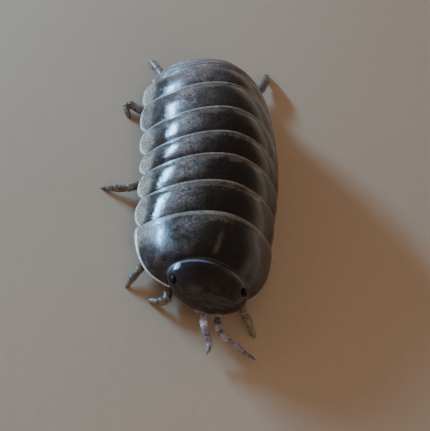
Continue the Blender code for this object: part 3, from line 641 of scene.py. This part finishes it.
def tail_piece(name, node, lo, hi, tau0, tau1, top, bottom, crown, mat, slot, turn):
    nb, nt = 60, 40
    pts, faces, s, q = slab(tau0, tau1, lo, hi, top, bottom, nb, nt, crown)
    v = np.concatenate([np.repeat(q[None], nb, 0), np.repeat(q[::-1][None], nb, 0)], 1)
    z = np.zeros((nb, 2 * nt))
    edge = np.maximum(smooth(v, 0.90, 0.97), smooth(np.abs(2 * s - 1) + z, 0.86, 0.95))
    # front: painted shade where the piece runs under the plate before it
    A = {"right": z + 0.25, "left": z + 0.3, "rim": z, "lobe": z, "core": z, "para": bell(v, 0.45, 0.2) * 0.6, "dark": z, "front": 1 - smooth(v, 0.0, 0.12), "streak": z, "edge": edge * 0.40, "joint": edge * 0.3, "tip": z}
    return piece(name, pts.reshape(-1, 3), faces, mat, A, slot=slot, replaces=(node,), turn=turn)


def telson_half(t):
    return 0.44 - 0.22 * (t - 12.0)


tail_piece("telson_plate", "telson", lambda t: -telson_half(t), telson_half, 12.02, 13.0, -0.02, -0.26, 0.03, SHELL[12], "shell", True)
for side, s in (("R", -1), ("L", 1)):
    tail_piece("uropod_%s_plate" % side, "uropod_" + side, lambda t, s=s: s * (telson_half(t) + 0.05), lambda t, s=s: s * 0.86 + 0 * t, 12.05, 12.97, -0.05, -0.25, 0.03, SHELL[11], "shell", s > 0)


# ---- head -------------------------------------------------------------------------------
def turn_head(p):
    p = np.array(p, float)
    k = np.clip((p[..., 2] - 0.86) / 1.74, 0, 1)
    p[..., 0] = p[..., 0] + HEAD_X[0] + HEAD_X[1] * k
    return p


def head_local(phi, r):
    phi, r = np.broadcast_arrays(np.asarray(phi, float), np.asarray(r, float))
    yt, yb, a, zt, zm, zb, et, eb = np.moveaxis(HEAD_TRACK(r), -1, 0)
    c, s = np.cos(phi), np.sin(phi)
    e = np.where(s >= 0, et, eb)
    x = a * np.sign(c) * np.abs(c) ** (2 / e)
    z = np.where(s >= 0, zm + (zt - zm) * np.abs(s) ** (2 / e), zm - (zm - zb) * np.abs(s) ** (2 / e))
    y = yb + (yt - yb) * (z - zb) / (zt - zb)
    return np.stack([x, y, z], -1)


def make_head():
    around = 260
    phi = (np.arange(around) + 0.5) * 2 * math.pi / around
    r = np.concatenate([np.linspace(0, 0.16, 9), np.linspace(0.17, 0.30, 22), np.linspace(0.31, 1.0, 92)])
    p = head_local(phi[None], r[:, None])
    bs = np.linspace(-0.995, 0.995, 400)
    hem = shell_point(bs, 0.02 + 0 * bs, -0.100 + 0 * bs)
    k = np.clip((hem[:, 2] - 0.86) / 1.74, 0, 1)
    hem[:, 0] -= HEAD_X[0] + HEAD_X[1] * k
    turn = np.arctan2(hem[:, 2] - 1.5, hem[:, 0])
    turn = np.where(turn < -math.pi / 2, turn + 2 * math.pi, turn)
    order = np.argsort(turn)
    ring_at = np.arctan2(p[..., 2] - 1.5, p[..., 0])
    ring_at = np.where(ring_at < -math.pi / 2, ring_at + 2 * math.pi, ring_at)
    target = np.stack([np.interp(ring_at, turn[order], hem[order, i]) for i in range(3)], -1)
    w = smooth(r, 0.10, 0.16) * (1 - smooth(r, 0.19, 0.255))
    w = w[:, None] * smooth(p[..., 2], 1.0, 1.3)
    p = p + (target - p) * w[..., None]
    # face cap: rings that close in on the middle of the face
    last = p[-1]
    centre = last.mean(0)
    cap = []
    for s in np.linspace(0.94, 0.04, 14):
        ring = centre + (last - centre) * s
        ring[:, 1] -= 0.10 * (1 - s ** 2)
        cap.append(ring)
    p = np.concatenate([p, np.array(cap)])
    n = np.cross(np.roll(p, -1, 1) - np.roll(p, 1, 1), np.gradient(p, axis=0))
    n /= np.maximum(np.linalg.norm(n, axis=-1, keepdims=True), 1e-9)
    out = np.sign((n * (p - np.array([0, -6.6, 1.5]))).sum(-1).mean())
    n *= out
    rr = np.concatenate([r, np.linspace(1.0, 1.12, 14)])[:, None] * np.ones(around)
    x, y, z = p[..., 0], p[..., 1], p[..., 2]
    d = np.zeros_like(x)
    top = smooth(z, 1.50, 1.80)
    # frontal line and the raised shield of the forehead
    line = 0.815 - 0.030 * bell(x, 0.0, 0.5)
    d += 0.014 * bell(rr, line, 0.026) * top * (1 - smooth(np.abs(x), 1.30, 1.55))
    d -= 0.010 * bell(rr, line + 0.045, 0.026) * top * smooth(np.abs(x), 0.35, 0.6)
    shield = 0.50 * np.clip(1 - (rr - line) / 0.20, 0, 1)
    d += 0.022 * smooth(shield - np.abs(x), -0.05, 0.14) * smooth(rr, line - 0.005, line + 0.015) * top
    # feeler sockets with a raised lobe beside each
    for s in (-1, 1):
        q = np.sqrt(((x - s * 0.34) / 0.26) ** 2 + ((z - 1.16) / 0.24) ** 2)
        d += np.where(y < -7.3, -0.060 * np.exp(-(q ** 4)) + 0.012 * bell(q, 1.35, 0.34), 0)
        q = np.sqrt(((x - s * 0.92) / 0.30) ** 2 + ((z - 1.30) / 0.24) ** 2)
        d += np.where(y < -7.2, 0.014 * np.exp(-(q ** 2)), 0)
    # mouth shield and cheek furrows
    q = np.sqrt((x / 0.34) ** 2 + ((z - 0.96) / 0.17) ** 2)
    d += np.where(y < -7.3, 0.030 * smooth(1.15 - q, 0, 0.45), 0)
    d -= 0.014 * bell(z, 1.18 + 0.10 * np.abs(x), 0.045) * smooth(np.abs(x), 0.9, 1.2)
    # soft unevenness of the crown: a shallow middle furrow and two low swellings
    crown = top * smooth(rr, 0.30, 0.40) * (1 - smooth(rr, 0.72, 0.80))
    d += crown * (0.016 * bell(np.abs(x), 0.62, 0.34) - 0.012 * bell(x, 0, 0.10))
    d += 0.007 * wave(p, 4.0, 5) * smooth(rr, 0.25, 0.35)
    for s in (-1, 1):
        e = (p - np.array([s * EYE_AT[0], EYE_AT[1], EYE_AT[2]])) / (np.array(EYE_R) * np.array([2.2, 1.0, 1.0]))
        q = np.linalg.norm(e, axis=-1)
        d += -0.05 * smooth(1.02 - q, 0.0, 0.22)
    p = p + n * d[..., None]
    world = turn_head(p)
    rows = len(p)
    verts = world.reshape(-1, 3)
    faces = [tuple(f) for f in grid_faces(rows, around)]
    faces.append(tuple(range(around))[::-1])
    faces.append(tuple((rows - 1) * around + j for j in range(around)))
    A = {
        # partly slate colour, partly painted sheen on the window side
        "slate_and_sheen": smooth(-x, 0.2, 1.5) * smooth(z, 0.9, 1.5),
        "rust": smooth(x, 0.1, 1.3),
        # rear rim: partly pale horn, partly painted highlight fading away from the window side; also the frontal line
        # and the pale lower face
        "pale": np.clip(0.85 * smooth(rr, 0.205, 0.225) * (1 - smooth(rr, 0.262, 0.300)) * smooth(z, 1.2, 1.9) * (0.10 + 0.90 * smooth(-x, -0.9, 0.6)) + 0.06 * bell(rr, line, 0.012) * top + 0.35 * smooth(1.3 - z, 0.1, 0.5) * smooth(-y, 7.3, 7.5), 0, 1),
        "skin": smooth(1.02 - z, 0.0, 0.2) * 0.55,
        # painted highlight on the head's rear corner
        "glint": 0.62 * smooth(1.0 - np.sqrt(((x + 1.43) / 0.23) ** 2 + ((z - 2.21) / 0.22) ** 2 + ((rr - 0.31) / 0.13) ** 2), 0.0, 0.55),
    }
    flip = signed_volume(verts, faces[:-2]) < 0
    return piece("head_shell", verts, faces, HEAD_MAT, A, slot="head_shell", replaces=("head",), turn=flip)


make_head()


def make_eye(side, s):
    at = turn_head(np.array([s * EYE_AT[0], EYE_AT[1], EYE_AT[2]]))
    n, m = 56, 72
    th = np.linspace(0.02, math.pi - 0.02, n)[:, None]
    ph = np.arange(m) * 2 * math.pi / m
    d = np.stack([np.cos(th) * s + 0 * ph, np.sin(th) * np.cos(ph), np.sin(th) * np.sin(ph)], -1)
    # ocelli in offset rows over the outward cap
    seeds = []
    for row, z in enumerate((-0.72, -0.36, 0.0, 0.36, 0.72)):
        wide = math.sqrt(max(0.0, 1 - z * z)) * 0.90
        cnt = (4, 5, 6, 5, 4)[row]
        for i in range(cnt):
            y = -wide + 2 * wide * (i + 0.5) / cnt
            xx = math.sqrt(max(0.0, 1 - z * z - y * y))
            seeds.append((xx * s, y, z))
    seeds = np.array(seeds)
    q = np.linalg.norm(d[..., None, :] - seeds, axis=-1).min(-1)
    lens = np.sqrt(np.clip(1 - (q / 0.215) ** 2, 0, 1))
    p = d * np.array(EYE_R) * (0.93 + 0.085 * lens)[..., None] + at
    faces = [tuple(f) for f in grid_faces(n, m)]
    faces.append(tuple(range(m))[::-1])
    faces.append(tuple((n - 1) * m + j for j in range(m)))
    v = p.reshape(-1, 3)
    return piece("eye_%s_facets" % side, v, faces, EYE_MAT, {"lens": lens}, slot="eye", replaces=("eye_" + side,), turn=signed_volume(v, faces[:-2]) < 0)


make_eye("R", -1)
make_eye("L", 1)


# ---- limbs ------------------------------------------------------------------------------
def spline(points, n):
    p = np.array(points, float)
    p = np.vstack([2 * p[0] - p[1], p, 2 * p[-1] - p[-2]])
    out = []
    for i in range(1, len(p) - 2):
        q = p[i - 1 : i + 3]
        t = np.concatenate([[0], np.cumsum(np.linalg.norm(np.diff(q, axis=0), axis=1) ** 0.5)])
        for s in np.linspace(t[1], t[2], 24, endpoint=False):
            a1 = (t[1] - s) / (t[1] - t[0]) * q[0] + (s - t[0]) / (t[1] - t[0]) * q[1]
            a2 = (t[2] - s) / (t[2] - t[1]) * q[1] + (s - t[1]) / (t[2] - t[1]) * q[2]
            a3 = (t[3] - s) / (t[3] - t[2]) * q[2] + (s - t[2]) / (t[3] - t[2]) * q[3]
            b1 = (t[2] - s) / (t[2] - t[0]) * a1 + (s - t[0]) / (t[2] - t[0]) * a2
            b2 = (t[3] - s) / (t[3] - t[1]) * a2 + (s - t[1]) / (t[3] - t[1]) * a3
            out.append((t[2] - s) / (t[2] - t[1]) * b1 + (s - t[1]) / (t[2] - t[1]) * b2)
    out.append(p[-2])
    out = np.array(out)
    d = np.concatenate([[0], np.cumsum(np.linalg.norm(np.diff(out, axis=0), axis=1))])
    s = np.linspace(0, d[-1], n)
    return np.stack([np.interp(s, d, out[:, i]) for i in range(3)], -1)


def side_vectors(t, ref=(0.0, 0.0, 1.0)):
    ref = np.array(ref)
    if abs(float(t @ ref)) > 0.93:
        ref = np.array([0.0, 1.0, 0.0])
    n = np.cross(t, ref)
    n /= np.linalg.norm(n)
    return n, np.cross(n, t)


def sweep(bundle, path, radii, sides=22, flat=1.0, **attrs):
    """Round-ended tube along a path; flat < 1 squeezes it from top to bottom."""
    path = np.asarray(path, float)
    t = np.gradient(path, axis=0)
    t /= np.linalg.norm(t, axis=1)[:, None]
    n, m = side_vectors(t[0])
    ang = np.arange(sides) * 2 * math.pi / sides
    rings = []
    for i in range(len(path)):
        n = n - t[i] * (n @ t[i])
        n /= np.linalg.norm(n)
        m = np.cross(t[i], n)
        rings.append(path[i] + radii[i] * (np.cos(ang)[:, None] * n + flat * np.sin(ang)[:, None] * m))
    rings = np.array(rings)
    faces = [tuple(f) for f in grid_faces(len(path), sides)]
    faces.append(tuple(range(sides))[::-1])
    faces.append(tuple((len(path) - 1) * sides + j for j in range(sides)))
    v = rings.reshape(-1, 3)
    if signed_volume(v, faces[:-2]) < 0:
        faces = [tuple(reversed(f)) for f in faces]
    vals = {}
    for k, a in attrs.items():
        vals[k] = np.repeat(np.asarray(a, float), sides) if np.size(a) == len(path) else a
    bundle.add(v, faces, **vals)


def article(bundle, p0, p1, r0, r1, swell=0.10, rings=22, sides=22, bend=0.0, flat=0.92, tip=0.0):
    """One segment of a limb: narrow at its hinge, fullest past the middle, with a lipped far end."""
    p0, p1 = np.array(p0, float), np.array(p1, float)
    axis = p1 - p0
    length = np.linalg.norm(axis)
    axis /= length
    _, up = side_vectors(axis)
    s = np.concatenate([[-0.035, -0.02], np.linspace(0, 1, rings), [1.02, 1.035]])
    path = p0 + (p1 - p0) * s[:, None] + up * (bend * np.sin(math.pi * np.clip(s, 0, 1)))[:, None]
    r = r0 + (r1 - r0) * np.clip(s, 0, 1)
    r = r * (0.80 + 0.20 * smooth(s, 0.0, 0.18)) * (1 + swell * bell(s, 0.66, 0.24))
    r = r * (1 + 0.07 * bell(s, 0.965, 0.022) - 0.05 * bell(s, 0.90, 0.03))
    r[:2] *= (0.35, 0.72)
    r[-2:] *= (0.70, 0.30)
    joint = np.clip(1 - smooth(s, 0.0, 0.06) + smooth(s, 0.97, 1.0), 0, 1) * 0.7
    sweep(bundle, path, r, sides, flat, joint=joint, tip=tip)


def spine(bundle, at, axis, length, radius):
    axis = np.asarray(axis, float)
    axis /= np.linalg.norm(axis)
    s = np.linspace(0, 1, 6)
    path = np.asarray(at) + axis * (s * length)[:, None]
    sweep(bundle, path, radius * (1 - 0.93 * s), 6, 1.0, joint=0.0, tip=0.55)


def spine_row(bundle, p0, p1, radius, count, length, rng, start=0.35):
    """Short spines along the lower side of a limb's segment."""
    p0, p1 = np.array(p0, float), np.array(p1, float)
    axis = (p1 - p0) / np.linalg.norm(p1 - p0)
    n, up = side_vectors(axis)
    for i in range(count):
        s = start + (1 - start) * (i + 0.5) / count
        a = rng.uniform(-2.4, -0.7)
        d = math.cos(a) * n + math.sin(a) * up
        at = p0 + (p1 - p0) * s + d * radius * 0.86
        spine(bundle, at, d * 0.55 + axis * 0.85, length * rng.uniform(0.8, 1.2), 0.013)


def leg_points(side, k):
    s = -1 if side == "R" else 1
    feet, knees = (FEET_R, KNEE_R) if side == "R" else (FEET_L, KNEE_L)
    foot, knee = feet[k], knees[k]
    root_y = float(TRUNK_TRACK(k + 0.5)[2])
    if k == 0:
        root_y = -4.75
    ahead = -1 if k < 3 else 1
    x0 = float(TRUNK_TRACK(k + 0.5)[7])
    a = (x0 + s * 2.02, root_y - 0.30 * ahead, 1.14)
    b = (x0 + s * 1.52, root_y - 0.26 * ahead, 1.00)
    c = (x0 + s * 1.14, root_y + 0.02 * ahead, 0.82)
    d = (x0 + s * 1.40, root_y + 0.30 * ahead, 0.62)
    e = (knee[0] * 0.62 + d[0] * 0.38, knee[1] * 0.55 + d[1] * 0.45, 0.37)
    f = (knee[0], knee[1], knee[2])
    g = (foot[0], foot[1], 0.0)
    h = ((f[0] + g[0]) / 2 + 0.06 * s, (f[1] + g[1]) / 2, f[2] / 2 + 0.03)
    return [np.array(v) for v in (a, b, c, d, e, f, h, g)]


def make_leg(side, k):
    a, b, c, d, e, f, h, g = leg_points(side, k)
    w = 1.28 if k == 6 else 1.15 if k == 5 or k == 0 else 1.05
    bun = Bundle()
    rng = np.random.default_rng(100 + 10 * k + (side == "L"))
    mid = (c * 0.25 + b * 0.75)
    article(bun, a, mid, 0.215, 0.200, 0.10)
    article(bun, mid, c, 0.195, 0.190, 0.05)
    article(bun, c, d, 0.185, 0.180, 0.06)
    de = d * 0.42 + e * 0.58
    article(bun, d, de, 0.175, 0.175 * w, 0.12)
    article(bun, de, f * 0.80 + e * 0.20, 0.172 * w, 0.165 * w, 0.14)
    f2 = f * 0.80 + e * 0.20
    gh = h * 0.30 + g * 0.70
    article(bun, f2, h * 0.72 + f * 0.28, 0.163 * w, 0.155 * w, 0.10)
    h2 = h * 0.72 + f * 0.28
    article(bun, h2, gh, 0.140 * w, 0.100 * w, 0.06)
    # claw, ending on the floor
    tipx = g + np.array([0, 0, 0.015])
    s = np.linspace(0, 1, 14)
    mid2 = (gh + tipx) / 2 + np.array([0, 0, 0.05])
    path = (1 - s)[:, None] ** 2 * gh + 2 * (s * (1 - s))[:, None] * mid2 + (s ** 2)[:, None] * tipx
    sweep(bun, path, 0.085 * (1 - 0.86 * s ** 1.1), 16, 0.9, joint=0.8 * (1 - smooth(s, 0, 0.2)), tip=smooth(s, 0.35, 0.8))
    spine_row(bun, de, f2, 0.17, 5, 0.13, rng)
    spine_row(bun, f2, h2, 0.15, 5, 0.13, rng)
    spine_row(bun, h2, gh, 0.10, 4, 0.10, rng)
    node = "leg_%s%d" % (side, k + 1)
    # painted shade on the legs, most of all the far hind leg
    bun.a["dusk"] = [np.full(bun.n, {("L", 6): 0.80, ("L", 0): 0.0, ("R", 6): 0.10}.get((side, k), 0.38))]
    return bun.build(node + "_limb", LEG_MAT, slot="leg", replaces=(node,))


for k in range(7):
    for side in "RL":
        make_leg(side, k)


def make_feeler(side, points, cuts, radii):
    path = spline(points, 241)
    bun = Bundle()
    rng = np.random.default_rng(31 if side == "R" else 32)

    def at(s):
        return np.array([np.interp(s, np.linspace(0, 1, 241), path[:, i]) for i in range(3)])

    for i in range(len(cuts) - 1):
        s0, s1 = cuts[i], cuts[i + 1]
        s = np.linspace(s0, s1, 26)
        line = np.array([at(x) for x in s])
        w = np.linspace(0, 1, 26)
        r = radii[i] + (radii[i + 1] - radii[i]) * w
        r = r * (0.84 + 0.16 * smooth(w, 0.0, 0.14)) * (1 + 0.05 * bell(w, 0.74, 0.25)) * (1 + 0.04 * bell(w, 0.95, 0.03))
        r[0] *= 0.55
        r[-1] *= 0.60
        joint = np.clip(1 - smooth(w, 0.0, 0.12) + smooth(w, 0.94, 1.0), 0, 1)
        sweep(bun, line, r, 24, 0.92, joint=joint * (0.85 if i < 2 else 0.30), tip=0.35 * (i >= 4))
        # short stiff hairs lying forward on each article
        n, up = side_vectors((line[-1] - line[0]) / np.linalg.norm(line[-1] - line[0]))
        ax = (line[-1] - line[0]) / np.linalg.norm(line[-1] - line[0])
        for j in range(10):
            q = int(rng.integers(6, 24))
            ang = rng.uniform(0, 2 * math.pi)
            dd = math.cos(ang) * n + math.sin(ang) * up
            spine(bun, line[q] + dd * r[q] * 0.90, dd * 0.45 + ax, 0.055, 0.007)
    v = np.concatenate(bun.v)
    along = np.array([np.argmin(((path - q) ** 2).sum(1)) for q in v]) / 240.0
    # painted highlight near the right feeler's base
    glow = bell(along, 0.24, 0.060) * (1.0 if side == "R" else 0.0)
    # painted shade at the left feeler's base by the head
    shade = (1 - smooth(along, 0.05, 0.22)) * (0.75 if side == "L" else 0.0)
    tip0, tip1 = at(cuts[-1]), at(1.0)
    s = np.linspace(0, 1, 10)
    sweep(bun, tip0 + (tip1 - tip0) * s[:, None], 0.030 * (1 - 0.8 * s), 10, 1.0, joint=0.0, tip=0.9)
    rest = np.zeros(bun.n - len(v))
    bun.a["bright"] = [np.concatenate([glow, rest])]
    bun.a["dusk"] = [np.concatenate([shade, rest])]
    node = "antenna_" + side
    return bun.build(node + "_feeler", FEELER_MAT, slot="feeler", replaces=(node,))


make_feeler("R", FEELER_PTS_R, (0.0, 0.09, 0.22, 0.50, 0.80, 0.92), (0.130, 0.160, 0.168, 0.150, 0.118, 0.070))
make_feeler("L", FEELER_PTS_L, (0.0, 0.09, 0.22, 0.42, 0.74, 0.93), (0.130, 0.165, 0.172, 0.145, 0.118, 0.070))


# ---- underside --------------------------------------------------------------------------
def tau_at(b, y):
    lo, hi = 0.0, 13.0
    for _ in range(30):
        mid = (lo + hi) / 2
        if trunk(b, mid)[1] < y:
            lo = mid
        else:
            hi = mid
    return (lo + hi) / 2


def make_underside():
    """Soft trunk and gill block as one closed skin, remeshed from two overlapping forms."""
    ys = np.linspace(BELLY_Y[0], BELLY_Y[1], 49)
    rings = []
    for y in ys:
        tau = np.array([tau_at(b, y) for b in np.linspace(-0.66, 0.66, 23)])
        ring = shell_point(np.linspace(-0.66, 0.66, 23), tau, -PLATE_T - 0.08) * [1, 0, 1] + [0, y, 0]
        left, right = ring[-1], ring[0]
        s = np.linspace(0.94, -0.94, 19)
        tc = float(tau_at(0.0, y))
        ridge = 0.5 - 0.5 * math.cos(2 * math.pi * (tc % 1.0))
        low = np.minimum(BELLY_Z - 0.10 * (1 - np.abs(s)) ** 0.8, min(left[2], right[2]) - 0.12)
        low = low - 0.05 * ridge * (1 - s ** 4) - 0.08 * bell(np.abs(s), 0.78, 0.14) * ridge
        bottom = np.stack([(left[0] + right[0]) / 2 + s * (left[0] - right[0]) / 2, np.full(19, y), low], -1)
        rings.append(np.concatenate([ring, bottom]))
    rings = np.array(rings)
    m = rings.shape[1]
    bun = Bundle()
    faces = [tuple(f) for f in grid_faces(len(rings), m)] + [tuple(range(m))[::-1], tuple((len(rings) - 1) * m + j for j in range(m))]
    v = rings.reshape(-1, 3)
    if signed_volume(v, faces[:-2]) < 0:
        faces = [tuple(reversed(f)) for f in faces]
    bun.add(v, faces)
    rows = Track(((5.35, 0.95, 1.40, 1.06), (5.62, 1.30, 1.40, 0.94), (6.00, 1.42, 1.36, 0.92), (6.45, 1.20, 1.30, 0.94), (6.90, 0.80, 1.24, 0.98)))
    rings = []
    for y in np.linspace(5.35, 6.90, 24):
        w, zt, zb = rows(y)
        ang = (np.arange(48) + 0.5) * 2 * math.pi / 48
        c, s = np.cos(ang), np.sin(ang)
        z = (zt + zb) / 2 + (zt - zb) / 2 * np.sign(s) * np.abs(s) ** 0.7
        z = z + np.where(s < 0, 0.03 * bell(w * c, 0, 0.07), 0)
        rings.append(np.stack([w * np.sign(c) * np.abs(c) ** 0.7, np.full(48, y), z], -1))
    rings = np.array(rings)
    faces = [tuple(f) for f in grid_faces(24, 48)] + [tuple(range(48))[::-1], tuple(23 * 48 + j for j in range(48))]
    v = rings.reshape(-1, 3)
    if signed_volume(v, faces[:-2]) < 0:
        faces = [tuple(reversed(f)) for f in faces]
    bun.add(v, faces)
    # neck that closes the gap up to the back of the head
    rows = Track(((-5.75, 1.10, 1.86, 1.18), (-5.45, 1.34, 1.96, 1.14), (-4.95, 1.60, 2.00, 1.20)))
    rings = []
    for y in np.linspace(-5.75, -4.95, 16):
        w, zt, zb = rows(y)
        ang = (np.arange(48) + 0.5) * 2 * math.pi / 48
        c, s = np.cos(ang), np.sin(ang)
        rings.append(np.stack([-1.0 + w * np.sign(c) * np.abs(c) ** 0.8, np.full(48, y), (zt + zb) / 2 + (zt - zb) / 2 * np.sign(s) * np.abs(s) ** 0.8], -1))
    rings = np.array(rings)
    faces = [tuple(f) for f in grid_faces(16, 48)] + [tuple(range(48))[::-1], tuple(15 * 48 + j for j in range(48))]
    v = rings.reshape(-1, 3)
    if signed_volume(v, faces[:-2]) < 0:
        faces = [tuple(reversed(f)) for f in faces]
    bun.add(v, faces)
    # joined in millimetres as units, then brought to size
    mesh = bpy.data.meshes.new("underside_skin")
    mesh.from_pydata(np.concatenate(bun.v).tolist(), [], bun.f)
    ob = bpy.data.objects.new("underside_skin", mesh)
    bpy.context.scene.collection.objects.link(ob)
    mod = ob.modifiers.new("join", "REMESH")
    mod.mode = "VOXEL"
    mod.voxel_size = 0.07
    mod2 = ob.modifiers.new("soften", "SMOOTH")
    mod2.factor = 0.5
    mod2.iterations = 3
    dg = bpy.context.evaluated_depsgraph_get()
    done = bpy.data.meshes.new_from_object(ob.evaluated_get(dg))
    bpy.data.objects.remove(ob)
    co = np.zeros(len(done.vertices) * 3)
    done.vertices.foreach_get("co", co)
    co = co.reshape(-1, 3)
    tris = [tuple(p.vertices) for p in done.polygons]
    tc = np.array([0.0])
    ty = np.linspace(BELLY_Y[0], BELLY_Y[1], 120)
    tt = np.array([tau_at(0.0, y) for y in ty])
    tau = np.interp(co[:, 1], ty, tt)
    fold = np.clip(bell(((tau + 0.5) % 1.0) - 0.5, 0.0, 0.10), 0, 1) * smooth(1.7 - co[:, 2], 0.0, 0.3) * (co[:, 1] < 5.2)
    return piece("underside_skin", co, tris, SKIN_MAT, {"fold": fold * 0.8, "plate": 0 * fold, "lung": 0 * fold}, slot="underside", replaces=("belly", "pleopods"))


make_underside()


def flap(bundle, centre, half, yaw, pitch, dish, lung):
    """Thin rounded plate, dished a little, for the gill covers and jaw feet."""
    n, m = 18, 40
    r = np.linspace(0.02, 1, n)[:, None]
    a = np.arange(m) * 2 * math.pi / m
    x = half[0] * r * np.sign(np.cos(a)) * np.abs(np.cos(a)) ** 0.85
    y = half[1] * r * np.sign(np.sin(a)) * np.abs(np.sin(a)) ** 0.85
    body = np.sqrt(np.clip(1 - r ** 4, 0, 1)) * half[2] + 0 * a
    sag = dish * (r ** 2) + 0 * a
    lo = np.stack([x, y, -body + sag], -1)
    hi = np.stack([x, y, body * 0.6 + sag], -1)[::-1]
    p = np.concatenate([lo, hi])
    cz, sz, cx, sx = math.cos(yaw), math.sin(yaw), math.cos(pitch), math.sin(pitch)
    R = np.array([[cz, -sz, 0], [sz, cz, 0], [0, 0, 1]]) @ np.array([[1, 0, 0], [0, cx, -sx], [0, sx, cx]])
    v = (p @ R.T + np.array(centre)).reshape(-1, 3)
    faces = [tuple(f) for f in grid_faces(2 * n, m)] + [tuple(range(m))[::-1], tuple((2 * n - 1) * m + j for j in range(m))]
    if signed_volume(v, faces[:-2]) < 0:
        faces = [tuple(reversed(f)) for f in faces]
    white = np.concatenate([(smooth(0.72 - r, 0.0, 0.14) * (x * math.copysign(1, centre[0]) > 0) * lung), np.zeros((n, m))])
    bundle.add(v, faces, plate=0.8, lung=white, fold=0.0)


gills = Bundle()
for i, y in enumerate((5.55, 5.86, 6.16, 6.44, 6.70)):
    for s in (-1, 1):
        w = (0.44, 0.50, 0.47, 0.40, 0.32)[i]
        flap(gills, (s * (w + 0.04), y, 0.905 + 0.012 * i), (w, 0.26 - 0.012 * i, 0.035), 0.10 * s, -0.16, 0.03, 1.0 if i < 2 else 0.0)
gills.build("gill_covers", SKIN_MAT, slot="underside")

jaws = Bundle()
for s in (-1, 1):
    c = turn_head(np.array([s * 0.19, -7.38, 0.765]))
    flap(jaws, c, (0.17, 0.32, 0.05), 0.10 * s, 0.42, -0.02, 0.0)
    c = turn_head(np.array([s * 0.52, -7.36, 0.80]))
    flap(jaws, c, (0.16, 0.26, 0.06), -0.25 * s, 0.42, -0.02, 0.0)
jaws.build("mouthparts", SKIN_MAT, slot="underside")


# ---- floor, light and camera --------------------------------------------------------------
size = 0.6
mesh = bpy.data.meshes.new("floor")
mesh.from_pydata([(-size, -size, 0), (size, -size, 0), (size, size, 0), (-size, size, 0)], [], [(0, 1, 2, 3)])
floor = bpy.data.objects.new("floor", mesh)
floor.data.materials.append(floor_material())
bpy.context.scene.collection.objects.link(floor)


def area_light(name, direction, distance, width, height, level, colour, along=None, aim=(0.0, 0.0, 0.002)):
    """Rectangular light; along is the direction its width runs in, level its brightness."""
    light = bpy.data.lights.new(name, "AREA")
    light.shape = "RECTANGLE"
    light.size, light.size_y = width, height
    light.energy = level * math.pi * width * height
    light.color = colour
    ob = bpy.data.objects.new(name, light)
    z = Vector(direction).normalized()
    x = Vector(along) if along else Vector((0, 0, 1)).cross(z)
    x = (x - z * x.dot(z)).normalized()
    y = z.cross(x)
    m = Matrix((x, y, z)).transposed().to_4x4()
    m.translation = Vector(aim) + z * distance
    ob.matrix_world = m
    bpy.context.scene.collection.objects.link(ob)
    return ob


# a long cool window strip low on the animal's right, and a large soft box above it
area_light("window", (-0.785, 0.56, 0.245), 0.085, 0.034, 0.0062, 195.0, (0.27, 0.60, 1.0), along=(0.30, 0.57, -0.22))
area_light("soft_box", (-0.81, 0.34, 0.47), 0.200, 0.070, 0.062, 1.5, (0.95, 0.95, 1.0))
area_light("fill", (0.10, -0.80, 0.59), 0.300, 0.200, 0.150, 0.6, (1.0, 0.88, 0.76))

world = bpy.data.worlds.new("studio")
bpy.context.scene.world = world
world.use_nodes = True
wt = world.node_tree
bg = wt.nodes["Background"]
geo = wt.nodes.new("ShaderNodeTexCoord")
sep = wt.nodes.new("ShaderNodeSeparateXYZ")
wt.links.new(geo.outputs["Generated"], sep.inputs[0])
ramp = wt.nodes.new("ShaderNodeValToRGB")
wt.links.new(sep.outputs["Z"], ramp.inputs["Fac"])
ramp.color_ramp.interpolation = "EASE"
ramp.color_ramp.elements[0].position = 0.06
ramp.color_ramp.elements[0].color = (0.78, 0.66, 0.54, 1)
ramp.color_ramp.elements[1].position = 0.48
ramp.color_ramp.elements[1].color = (0.200, 0.163, 0.132, 1)
wt.links.new(ramp.outputs["Color"], bg.inputs["Color"])
bg.inputs["Strength"].default_value = 1.0

# camera fitted to the photograph: azimuth, elevation and roll in degrees, distance and aim in mm
AZ, EL, ROLL, DIST, FPX, AIM = -26.531, 44.283, 31.183, 54.141, 1193.579, (-0.516, -2.802, 1.8)
a, e = math.radians(AZ), math.radians(EL)
back = np.array([math.sin(a) * math.cos(e), -math.cos(a) * math.cos(e), math.sin(e)])
right = np.cross(-back, [0, 0, 1])
right /= np.linalg.norm(right)
up = np.cross(right, -back)
r = math.radians(ROLL)
right, up = right * math.cos(r) + up * math.sin(r), -right * math.sin(r) + up * math.cos(r)
loc = (np.array(AIM) + back * DIST + SHIFT) * MM
cam = bpy.data.cameras.new("camera")
cam.sensor_fit = "VERTICAL"
cam.sensor_height = 36.0
cam.lens = FPX * 36.0 / 431.0
cam.clip_start = 0.001
cam.clip_end = 5.0
co = bpy.data.objects.new("camera", cam)
co.matrix_world = Matrix(((right[0], up[0], back[0], loc[0]), (right[1], up[1], back[1], loc[1]), (right[2], up[2], back[2], loc[2]), (0, 0, 0, 1)))
bpy.context.scene.collection.objects.link(co)
bpy.context.scene.camera = co
